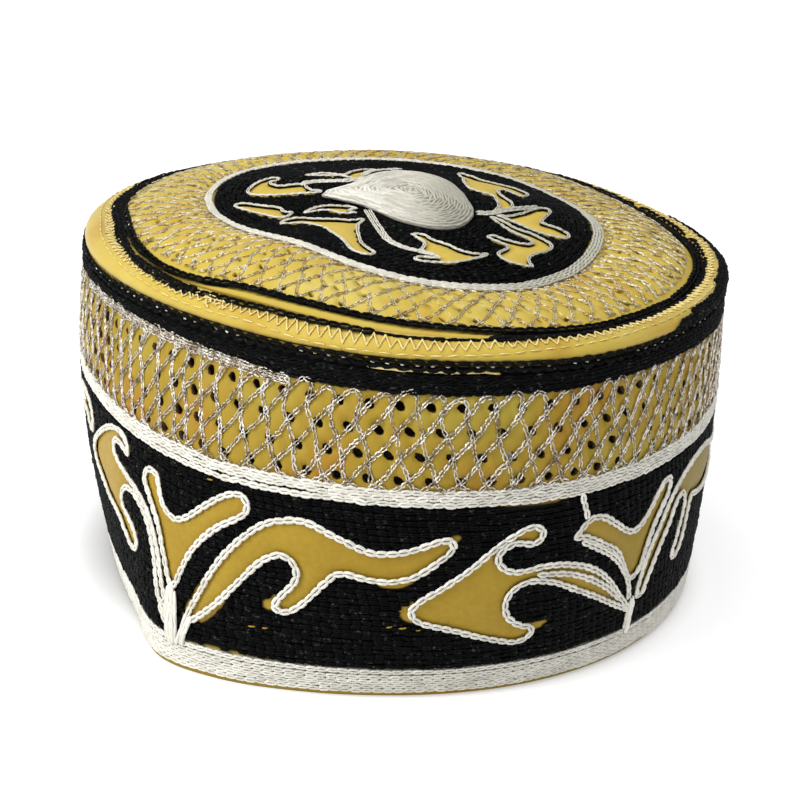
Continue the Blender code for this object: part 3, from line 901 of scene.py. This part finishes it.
def roll_place(direction, run, out=0.0):
    """Points on the padded edge: run goes round its section from the lower outer corner."""
    behind, (inset, height), ahead = (
        read_along((run + step) % ROLL_GIRTH, ROLL_RUN, ROLL_PATH).T for step in (-0.2, 0.0, 0.2))
    slope = ahead - behind
    size = np.hypot(*slope)
    inset = inset - out * slope[1] / size
    height = height + out * slope[0] / size
    radius = around(SECTIONS, "top", direction) - inset
    rim = around(RIM_RISES, "height", direction)
    lift = around(EDGE_RISES, "height", direction) - rim
    share = np.maximum(inset - ROLL_SEAT, 0.0) / (ROLL_INSET - ROLL_SEAT)
    height = height * (1 + ROLL_YIELD * np.minimum(lift, 0.0))
    return polar(direction, radius, BAND_HEIGHT + rim + height + lift * share)


def edge_place(direction, run, out=0.0):
    """Points on the padded edge, and past its inner side on the crown beside it."""
    on_roll = roll_place(direction, np.minimum(run, ROLL_INNER_RUN), out)
    on_crown = crown_place(direction, 0.012 * (run - ROLL_INNER_RUN) - 0.06, out)
    return np.where(np.asarray(run > ROLL_INNER_RUN)[..., None], on_crown, on_roll)


def make_roll():
    columns, rows = 480, 26
    shape = flat_sheet(columns, rows)
    column, row = read_squares(shape)
    direction, run = column * 360.0 / columns, row * ROLL_GIRTH / rows
    gather = 0.10 * np.sin(direction * 3.1 + run) + 0.07 * np.sin(direction * 7.3 + 1.7 * run)
    move_to(shape, roll_place(direction, run, gather * 0.5))
    weld(shape)
    roll = add_piece("edge_roll_padding", to_mesh(shape, "edge_roll_padding"), "roll_satin",
                     "yellow_satin", "edge_roll")


# The stitches

Strand = namedtuple("Strand", "corners loops starts uv")


def bead(sides, rings):
    """A closed strand from -1 to 1 along X, of radius 1, as arrays."""
    shape = bmesh.new()
    shape.loops.layers.uv.new("thread")
    bmesh.ops.create_uvsphere(shape, u_segments=sides, v_segments=rings, radius=1.0,
                              matrix=Matrix.Rotation(math.radians(90), 4, "Y"), calc_uvs=True)
    layer = shape.loops.layers.uv.active
    corners = np.array([v.co for v in shape.verts])
    loops = np.array([loop.vert.index for face in shape.faces for loop in face.loops])
    starts = np.cumsum([0] + [len(face.loops) for face in shape.faces])[:-1]
    uv = np.array([loop[layer].uv for face in shape.faces for loop in face.loops])
    shape.free()
    radius = np.linalg.norm(corners[:, 1:], axis=1, keepdims=True)
    corners[:, 1:] *= np.where(radius > 1e-6, np.maximum(radius, 1e-6) ** -0.45, 1.0)
    return Strand(corners, loops, starts, uv)


def chain_link(length, width, thick, sides=4, rings=5, rise=0.2):
    """One chain stitch: two strands leave one point, bow apart and lean in at the round end."""
    left, right = bead(sides, rings), bead(sides, rings)
    for side, strand in ((-1, left), (1, right)):
        c = strand.corners
        open_by = ease(-1.0, -0.25, c[:, 0]) * (1 - 0.55 * ease(0.55, 1.0, c[:, 0]))
        c[:, 1] = c[:, 1] * thick / 2 + side * (width - thick) / 2 * open_by
        c[:, 2] = c[:, 2] * thick / 2 + rise * open_by
        c[:, 0] *= length / 2
    right = right._replace(loops=right.loops + len(left.corners),
                           starts=right.starts + len(left.loops))
    return Strand(*(np.concatenate(part) for part in zip(left, right)))


def plain_strand(length, thick, sides=5, rings=5, rise=0.1):
    strand = bead(sides, rings)
    c = strand.corners
    c[:, 2] = c[:, 2] * thick / 2 + rise * np.cos(c[:, 0] * math.pi / 2)
    c[:, 1] *= thick / 2
    c[:, 0] *= length / 2
    return strand


Steps = namedtuple("Steps", "middle along normal length")


def steps_along(place, path, pitch, up):
    """Even steps along a chart path laid on a surface."""
    points, normals = surface(place, path[:, 0], path[:, 1], up)
    run = lengths(points)
    count = max(1, round(float(run[-1]) / (pitch * MM)))
    ends = np.linspace(0.0, run[-1], count + 1)
    knots = read_along(ends, run, points)
    middle = (knots[1:] + knots[:-1]) / 2
    along = knots[1:] - knots[:-1]
    length = np.linalg.norm(along, axis=1)
    normal = read_along((ends[1:] + ends[:-1]) / 2, run, normals)
    along = along / length[:, None]
    normal = normal - along * (normal * along).sum(-1, keepdims=True)
    normal = normal / np.linalg.norm(normal, axis=1, keepdims=True)
    return Steps(middle, along, normal, length / MM)


def together(steps):
    return Steps(*(np.concatenate(part) for part in zip(*steps)))


def chosen(steps, keep):
    return Steps(*(part[keep] for part in steps))


def where_on_cap(steps, moved=0.0):
    """Places of steps in millimetres about the crown's middle, and their directions."""
    where = steps.middle / MM + MIDDLE - moved
    return where, np.degrees(np.arctan2(where[:, 1], where[:, 0]))


def stitch(name, steps, link, pitch, finish, seed, slot=None, nodes=(), wobble=0.06):
    """Lays one link on each step, as one mesh."""
    rng = np.random.default_rng(seed)
    count = len(steps.middle)
    tone = rng.random(count)
    turn = rng.normal(0.0, wobble, count)
    lift = rng.normal(0.0, wobble, count) * 0.6
    width = 1 + rng.normal(0.0, wobble, count)
    side = np.cross(steps.normal, steps.along)
    along = steps.along + side * turn[:, None]
    side = np.cross(steps.normal, along)
    c = link.corners[None] * MM
    stretch = (steps.length / pitch)[:, None]
    places = (steps.middle[:, None]
              + (c[..., 0] * stretch)[..., None] * along[:, None]
              + (c[..., 1] * width[:, None])[..., None] * side[:, None]
              + (c[..., 2] + lift[:, None] * MM)[..., None] * steps.normal[:, None])
    size = len(link.corners)
    mesh = bpy.data.meshes.new(name)
    mesh.vertices.add(count * size)
    mesh.vertices.foreach_set("co", places.ravel())
    loops = (link.loops[None] + np.arange(count)[:, None] * size).ravel()
    starts = (link.starts[None] + np.arange(count)[:, None] * len(link.loops)).ravel()
    mesh.loops.add(len(loops))
    mesh.loops.foreach_set("vertex_index", loops)
    mesh.polygons.add(len(starts))
    mesh.polygons.foreach_set("loop_start", starts)
    layer = mesh.uv_layers.new(name="thread")
    layer.data.foreach_set("uv", np.tile(link.uv.ravel(), count))
    mesh.attributes.new("tone", "FLOAT", "POINT").data.foreach_set("value",
                                                                   np.repeat(tone, size))
    mesh.update(calc_edges=True)
    mesh.validate()
    add_piece(name, mesh, finish, slot or finish, *nodes)


def wavy_path(height, rng, sway, start=0.0):
    """A row round the cap at a height, or at heights read for each direction, a little uneven."""
    turn = np.linspace(start, start + 360.0, 961)
    level = height(turn) if callable(height) else height
    waves = sum(np.sin(np.radians(turn * k) + rng.random() * 6.3) for k in (17, 31, 53, 83))
    return np.stack((turn, level + sway * waves / 2), axis=-1)


WHITE_PITCH = 2.8
OUTLINE_LINK = chain_link(WHITE_PITCH * 1.4, width=2.0, thick=0.94)
ROW_LINK = chain_link(WHITE_PITCH * 1.4, width=1.75, thick=0.86, rise=0.1)
HEM_ROWS = (2.2, 3.7, 5.2, 6.7, 8.5)
MIDDLE_ROWS = table("height parting", (61.9, 0.1), (60.4, 0.15), (58.9, -0.2))


def make_hem_braid():
    rng = np.random.default_rng(11)
    steps = together([steps_along(band_place, wavy_path(h, rng, 0.08, h * 0.8), WHITE_PITCH, 0.55)
                      for h in HEM_ROWS])
    stitch("white_hem_rows", steps, ROW_LINK, WHITE_PITCH, "white_thread", 11,
           nodes=("white_hem_braid",))


def make_middle_braid():
    rng = np.random.default_rng(12)
    steps = []
    for number, row in enumerate(MIDDLE_ROWS):
        path = wavy_path(lambda turn: row.height + row.parting * middle_gap(turn), rng, 0.16,
                         number * 0.9)
        steps.append(steps_along(band_place, path, WHITE_PITCH, 0.55))
    stitch("white_middle_rows", together(steps), ROW_LINK, WHITE_PITCH, "white_thread", 12,
           nodes=("white_middle_braid",), wobble=0.09)


BLACK_PITCH, BLACK_ROW = 2.6, 1.55
BLACK_LINK = chain_link(BLACK_PITCH * 1.35, width=1.65, thick=0.92, sides=3, rings=3)
RIM_PITCH = 3.7
RIM_TOP_ROW, RIM_NEXT_ROW = 94.15, 91.4


def make_rim_braid():
    """A wide chain, rows below it and on the padded edge, and yellow that shows at the front."""
    rng = np.random.default_rng(13)
    top = steps_along(band_place, wavy_path(RIM_TOP_ROW, rng, 0.1), RIM_PITCH, 0.9)
    wide = chain_link(RIM_PITCH * 1.25, width=2.9, thick=1.05)
    stitch("black_rim_chain", top, wide, RIM_PITCH, "black_thread", 13, wobble=0.08)
    some = rng.random(len(top.middle)) < 0.7
    stitch("rim_chain_glints", chosen(top, some), plain_strand(1.1, 0.36), RIM_PITCH,
           "silver_thread", 28, wobble=0.15)

    def lowest(turn):
        return around(RIM_BOTTOMS, "height", turn) + 0.8

    rows = []
    for share in (0.0, 0.34, 0.67, 1.0):
        path = wavy_path(lambda turn: lowest(turn) + (RIM_NEXT_ROW - lowest(turn)) * share, rng,
                         0.12, share * 7)
        rows.append(steps_along(band_place, path, BLACK_PITCH, 0.5))
    for number, run in enumerate(np.arange(0.9, 8.5, 1.25)):
        row = steps_along(roll_place, wavy_path(run, rng, 0.15, number * 1.1), BLACK_PITCH, 0.35)
        _, direction = where_on_cap(row)
        rows.append(chosen(row, around(RIM_CLIMB, "run", direction) > run + 0.3))
    small = chain_link(BLACK_PITCH * 1.35, width=1.7, thick=0.84, rings=4)
    stitch("black_rim_rows", together(rows), small, BLACK_PITCH, "black_thread", 14,
           nodes=("black_rim_braid",), wobble=0.12)
    start, end, height = 265.0, 283.5, 92.8
    gap = np.linspace((start, height), (end, height), 60)
    stitch("rim_gap_strand", steps_along(band_place, gap, RIM_PITCH, 0.55),
           plain_strand(RIM_PITCH * 1.6, 0.8, rise=0.0), RIM_PITCH, "yellow_thread", 27)


def make_field():
    rng = np.random.default_rng(15)
    rows = []
    heights = np.arange(FIELD_BOTTOM + 0.9, FIELD_TOP - 0.3, BLACK_ROW)
    for number, height in enumerate(heights):
        rows.append(steps_along(band_place, wavy_path(height, rng, 0.22, number * 1.3),
                                BLACK_PITCH, 0.35))
    steps = together(rows)
    where, direction = where_on_cap(steps)
    keep = band_flame_depth(direction, where[:, 2]) < -0.5
    stitch("black_field_rows", chosen(steps, keep), BLACK_LINK, BLACK_PITCH, "black_thread", 15,
           nodes=("black_field",), wobble=0.13)


SPECKS = table(
    "direction height length",
    (248.2, 19.1, 2.2), (250.4, 19.2, 1.6), (269.3, 23.3, 1.6),
    (271.2, 23.0, 2.0), (273.8, 22.4, 1.4), (240.4, 56.9, 1.8),
)


def make_specks():
    """Short bits of yellow that show between the black rows."""
    pitch = 6.0
    steps = []
    for speck in SPECKS:
        end = (speck.direction + speck.length / ARC, speck.height + 0.25)
        path = np.array(((speck.direction, speck.height), end))
        steps.append(steps_along(band_place, path, pitch, 0.72))
    stitch("bare_specks", together(steps), plain_strand(pitch, 0.5), pitch, "yellow_satin", 33)


def make_band_outlines():
    steps = []
    for corner in CORNERS:
        for flame in corner.flames:
            path = BAND_OUTLINES[flame] / (ARC, 1.0) + (corner.direction, 0.0)
            steps.append(steps_along(band_place, path, WHITE_PITCH, 0.75))
        for chain in corner.chains:
            path = smooth_path(chain) + (corner.direction, 0.0)
            steps.append(steps_along(band_place, path, WHITE_PITCH, 0.85))
    stitch("band_flame_outlines", together(steps), OUTLINE_LINK, WHITE_PITCH, "white_thread", 16)


def make_corner_stems():
    """Long smooth stitches that gather each corner's flames down to the hem."""
    pitch = 5.0
    steps = []
    for corner in CORNERS:
        for number, strand in enumerate(corner.stem):
            path = smooth_path(strand) + (corner.direction, 0.0)
            steps.append(steps_along(band_place, path, pitch, 1.0 + 0.15 * (number % 2)))
    link = plain_strand(pitch * 1.5, 1.05, rings=6, rise=0.15)
    stitch("corner_stem_stitches", together(steps), link, pitch, "white_thread", 26)


def make_medallion():
    rng = np.random.default_rng(17)
    rows = []
    crown_size = 83
    shares = np.arange(MEDALLION_SHARE - 0.01, 0.1, -BLACK_ROW / crown_size)
    for number, share in enumerate(shares):
        path = wavy_path(1 - share, rng, 0.0025, number * 2.3)
        path[:, 1] -= ring_narrowing(path[:, 0]) * ease(0.35, 0.6, share)
        rows.append(steps_along(crown_place, path, BLACK_PITCH, 0.35))
    steps = together(rows)
    where, direction = where_on_cap(steps, MEDALLION_SHIFT)
    x, y = where[:, 0], where[:, 1]
    boss = around(BOSS_OUTLINE, "radius", direction)
    keep = (medallion_flame_depth(x, y) < -0.2) & (np.hypot(x, y) > boss - 1.0)
    stitch("black_medallion_rows", chosen(steps, keep), BLACK_LINK, BLACK_PITCH, "black_thread",
           17, nodes=("black_medallion",), wobble=0.13)


def make_medallion_outlines():
    pitch = 2.3
    steps = [steps_along(medallion_place, path, pitch, 0.65) for path in MEDALLION_OUTLINES]
    for stem in MEDALLION_STEMS:
        path = smooth_path(stem)
        slope = np.gradient(path, axis=0)
        across = np.stack((-slope[:, 1], slope[:, 0]), axis=-1)
        across /= np.linalg.norm(across, axis=1, keepdims=True)
        for offset in (-0.65, 0.65):
            steps.append(steps_along(medallion_place, path + across * offset, pitch, 0.75))
    link = chain_link(pitch * 1.4, width=1.15, thick=0.52)
    stitch("medallion_flame_outlines", together(steps), link, pitch, "crown_white", 18,
           "white_thread")


RING_ROWS = (0.695, 0.677, 0.659)


def make_crown_ring():
    rng = np.random.default_rng(19)
    steps = []
    for number, share in enumerate(RING_ROWS):
        path = wavy_path(1 - share, rng, 0.001, share * 900)
        path[:, 1] -= ring_narrowing(path[:, 0]) * number / 2
        steps.append(steps_along(crown_place, path, WHITE_PITCH, 0.55))
    stitch("white_ring_rows", together(steps), ROW_LINK, WHITE_PITCH, "crown_white", 19,
           "white_thread", nodes=("white_crown_ring",))


# The outer black row round the crown: where its parts run, in degrees, and how far they lie
# further in. It has more rows at the left and at the right, and is one loose strand at the front.
OUTER_ROWS = table(
    "start end over",
    (-1, 265, 0.0), (284, 361, 0.0), (283, 325, 1.2), (283, 325, 2.4), (150, 231, 0.9),
)
LOOSE_STRAND = (264, 285)


def make_crown_braid():
    pitch = 3.0
    rng = np.random.default_rng(20)
    inner = wavy_path(lambda turn: 1 - around(EDGE_LINES, "inner", turn), rng, 0.0012)
    outer = wavy_path(lambda turn: around(EDGE_LINES, "outer", turn), rng, 0.12)

    def part(start, end, over=0.0):
        return outer[(outer[:, 0] > start) & (outer[:, 0] < end)] + (0.0, over)

    steps = together([steps_along(crown_place, inner, pitch, 0.6)] + [
        steps_along(edge_place, part(*row), pitch, 0.35) for row in OUTER_ROWS])
    stitch("loose_crown_strand", steps_along(edge_place, part(*LOOSE_STRAND), pitch, 0.2),
           plain_strand(pitch * 1.5, 0.9), pitch, "black_thread", 30, wobble=0.15)
    link = chain_link(pitch * 1.35, width=2.4, thick=1.0)
    stitch("black_crown_rows", steps, link, pitch, "black_thread", 20,
           nodes=("black_crown_braid",), wobble=0.08)


def boss_place(direction, share):
    """Points on the boss's outline drawn in to a share, on the medallion, and their height."""
    radius = around(BOSS_OUTLINE, "radius", direction) * share
    turn = np.radians(direction)
    swell = BOSS_LIFT + BOSS_EDGE * (1 - share ** 12) + BOSS_RISE * (1 - share ** 2)
    return radius * np.cos(turn), radius * np.sin(turn), swell


def make_boss():
    columns, rows = 96, 14
    shape = flat_sheet(columns, rows)
    column, row = read_squares(shape)
    move_to(shape, medallion_place(*boss_place(column * 360.0 / columns, (1 - row / rows) ** 0.8)))
    weld(shape)
    pad = add_piece("boss_padding", to_mesh(shape, "boss_padding"), "boss_thread", "white_thread",
                    "crown_boss")
    wall = pad.modifiers.new("Wall", "SOLIDIFY")
    wall.thickness = 1.0 * MM
    wall.offset = -1.0
    pitch = 4.5
    steps = []
    for number, share in enumerate(np.arange(0.98, 0.05, -0.045)):
        x, y, swell = boss_place(np.linspace(0, 360, 481) + number * 31.0, share)
        steps.append(steps_along(medallion_place, np.stack((x, y), axis=-1), pitch, swell))
    strand = plain_strand(pitch * 1.5, 0.95, rings=6, rise=0.05)
    stitch("boss_rows", together(steps), strand, pitch, "boss_thread", 21, "white_thread",
           wobble=0.04)


SILVER_PITCH = 1.9
SILVER_LINK = chain_link(SILVER_PITCH * 1.4, width=1.35, thick=0.45, sides=3, rings=4)


def net_unit(height, shift):
    """One up-and-down run of the net: up to the right, round a loop, and down again."""
    up, down = NET_LEANS[0] * height, -NET_LEANS[1] * height
    top = shift + up
    end = top + down
    loop = 2.0
    return smooth_path((
        (shift - 0.8, loop * 0.25), (shift + 1.2, loop * 0.9),
        (shift + up * 0.25, height * 0.25), (shift + up * 0.5, height * 0.5),
        (shift + up * 0.75, height * 0.75), (top - 1.4, height - loop * 0.9),
        (top + 0.6, height - loop * 0.2), (top + 2.4, height - loop * 0.9),
        (top + down * 0.27, height * 0.75), (top + down * 0.5, height * 0.5),
        (top + down * 0.75, height * 0.25), (end - 0.8, loop * 0.9), (end + 1.6, loop * 0.25)))


def make_band_net():
    """The net's runs, tucked under the braids, and three lines along its upper edge."""
    height, tuck = NET_TOP - NET_BOTTOM, 0.6
    rng = np.random.default_rng(31)
    steps = []
    for number in range(NET_RUNS):
        sway = rng.normal(0.0, 0.5, 3)
        unit = net_unit(height + sway[1], number * NET_PITCH + sway[0])
        unit[:, 0] += 0.4 * np.sin(unit[:, 1] * 0.5 + sway[2] * 9)
        turn = unit[:, 0] / ARC
        reach = around(RIM_BOTTOMS, "height", turn) + tuck - NET_BOTTOM
        path = np.stack((turn, NET_BOTTOM - tuck + unit[:, 1] / height * (reach + tuck)), axis=-1)
        steps.append(steps_along(band_place, path, SILVER_PITCH, 0.6))
    turns = np.linspace(196.0, 252.0, 120)
    edge = around(RIM_BOTTOMS, "height", turns)
    for drop in (0.1, 0.8, 1.5):
        path = np.stack((turns, edge - drop + 0.15 * np.sin(turns * (1.3 + drop))), axis=-1)
        steps.append(steps_along(band_place, path, SILVER_PITCH, 0.7))
    stitch("silver_band_net", together(steps), SILVER_LINK, SILVER_PITCH, "silver_thread", 22,
           wobble=0.12)


def make_crown_net():
    width = float(crown_radius(270.0, 1.0)) * (1 - RING_SHARE)
    rng = np.random.default_rng(32)
    steps = []
    for number in range(CROWN_NET_RUNS):
        sway = rng.normal(0.0, 0.35, 2)
        unit = net_unit(width + sway[1], number * CROWN_NET_PITCH + sway[0])
        unit[:, 0] += 0.35 * np.sin(unit[:, 1] * 0.5 + sway[0] * 9)
        path = np.stack((unit[:, 0] / CROWN_ARC, unit[:, 1] / width * (1 - RING_SHARE)), axis=-1)
        steps.append(steps_along(crown_place, path, SILVER_PITCH, 0.5))
    link = chain_link(SILVER_PITCH * 1.4, width=1.05, thick=0.38, sides=3, rings=4, rise=0.15)
    stitch("silver_crown_net", together(steps), link, SILVER_PITCH, "gilt_thread", 23,
           "silver_thread", wobble=0.12)


def make_edge_stitches():
    """A zigzag beside the outer black row, its tangled end, and a straight line below it."""
    rng = np.random.default_rng(24)
    zigzag_width, crown_size = 2.8, 88
    count = 2 * round(2 * math.pi * crown_size / zigzag_width)
    knots = np.linspace(0, 360, count + 1)
    tips = around(EDGE_LINES, "tips", knots)
    heads = around(EDGE_LINES, "outer", knots) - 0.5
    uneven = rng.normal(0.0, 0.18, count + 1)
    uneven[-1] = uneven[0]
    runs = np.where(np.arange(count + 1) % 2, tips, heads) + uneven
    turns = np.linspace(0, 360, count * 4 + 1)
    path = np.stack((turns, np.interp(turns, knots, runs)), axis=-1)
    lift = 0.3 + 0.6 * ease(-1.3, 0.2, path[:, 1] - around(EDGE_LINES, "outer", turns))
    pitch = 1.0
    zigzag = plain_strand(pitch * 1.6, 0.5, sides=4, rings=4, rise=0.0)
    stitch("edge_zigzag", steps_along(edge_place, path, pitch, lift), zigzag, pitch,
           "yellow_thread", 24, wobble=0.04)
    tangle = []
    for _ in range(16):
        start = rng.normal((235.0, 7.6), (1.3, 0.7))
        bend = start + rng.normal(0.0, (0.7, 0.8))
        path = smooth_path((start, bend, bend + rng.normal(0.0, (0.8, 0.6))))
        tangle.append(steps_along(edge_place, path, pitch, 0.6))
    stitch("tangled_thread_end", together(tangle), zigzag, pitch, "yellow_thread", 29)
    low = wavy_path(lambda turn: around(EDGE_LINES, "tips", turn) - 1.3, rng, 0.1)
    pitch = 4.2
    stitch("edge_straight_stitches", steps_along(roll_place, low, pitch, 0.15),
           plain_strand(3.2, 0.36, rise=0.08), pitch, "yellow_thread", 25, wobble=0.03)


make_band()
make_crown()
make_roll()
make_hem_braid()
make_middle_braid()
make_rim_braid()
make_field()
make_specks()
make_band_outlines()
make_corner_stems()
make_medallion()
make_medallion_outlines()
make_crown_ring()
make_crown_braid()
make_boss()
make_band_net()
make_crown_net()
make_edge_stitches()


# The studio

def make_floor():
    shape = bmesh.new()
    bmesh.ops.create_grid(shape, x_segments=2, y_segments=2, size=6.0)
    mesh = bpy.data.meshes.new("floor")
    shape.to_mesh(mesh)
    shape.free()
    floor = bpy.data.objects.new("floor", mesh)
    bpy.context.scene.collection.objects.link(floor)
    paper = Finish("glowing_studio_paper", Roughness=0.9, Emission_Strength=1.0)
    grain = paper.noise(60.0)
    paper.paint(paper.blend(grain, rgb(0.59, 0.59, 0.59), rgb(0.61, 0.61, 0.61)))
    # Painted light: the paper glows, more so far off; it does not glow within about 84 mm of the
    # cap's middle, which paints a soft shadow round the cap's foot and keeps its inside dark
    where = paper.add("ShaderNodeVectorMath", {0: paper.place(), 1: (0.0, 0.006, 0.0)},
                      operation="SUBTRACT")
    far = paper.add("ShaderNodeVectorMath", {0: where}, out=1, operation="LENGTH")
    glow = paper.add("ShaderNodeValToRGB", {0: far}, stops=(
        (0.084, rgb(0.0, 0.0, 0.0)), (0.096, rgb(0.50, 0.50, 0.50)),
        (0.25, rgb(0.50, 0.50, 0.50)), (1.0, rgb(0.85, 0.85, 0.85))))
    paper.feed(paper.shader.inputs["Emission Color"], glow)
    mesh.materials.append(paper.material)


def make_light(name, place, aim, size, power):
    light = bpy.data.lights.new(name, "AREA")
    light.shape = "DISK"
    light.size = size
    light.energy = power
    lamp = bpy.data.objects.new(name, light)
    lamp.location = place
    lamp.rotation_euler = (Vector(aim) - Vector(place)).to_track_quat("-Z", "Y").to_euler()
    bpy.context.scene.collection.objects.link(lamp)


def make_camera():
    """The photograph's view: from the front, 21 degrees up, with a slight roll.

    The lens is in pixels of the photograph, which is 800 pixels wide.
    """
    rise, roll = math.radians(20.8), math.radians(3.2)
    distance, aim_height, lens, frame_width = 577.0, 46.8, 1937.0, 800.0
    back = Vector((0.0, -math.cos(rise), math.sin(rise)))
    right = Vector((1.0, 0.0, 0.0))
    up = back.cross(right)
    view = (-back - 0.0018 * right + 0.0036 * up).normalized()
    level = view.cross(Vector((0.0, 0.0, 1.0))).normalized()
    square = level.cross(view)
    across = math.cos(roll) * level + math.sin(roll) * square
    upward = -math.sin(roll) * level + math.cos(roll) * square
    place = (Vector((0.0, 0.0, aim_height)) + back * distance - Vector(MIDDLE)) * MM
    camera = bpy.data.objects.new("camera", bpy.data.cameras.new("camera"))
    camera.data.sensor_width = 36.0
    camera.data.lens = lens * 36.0 / frame_width
    camera.matrix_world = Matrix.Translation(place) @ Matrix(
        (across, upward, -view)).transposed().to_4x4()
    bpy.context.scene.collection.objects.link(camera)
    bpy.context.scene.camera = camera


make_floor()
make_light("key", (-1.15, -0.68, 0.95), aim=(0.0, 0.0, 0.05), size=0.9, power=19.0)
make_light("top", (0.1, -0.25, 1.55), aim=(0.0, 0.0, 0.08), size=0.9, power=13.0)
make_camera()

world = bpy.data.worlds.new("studio")
world.use_nodes = True
world.node_tree.nodes["Background"].inputs["Color"].default_value = rgb(0.95, 0.96, 1.0)
world.node_tree.nodes["Background"].inputs["Strength"].default_value = 0.48
bpy.context.scene.world = world
bpy.context.scene.view_settings.view_transform = "Standard"
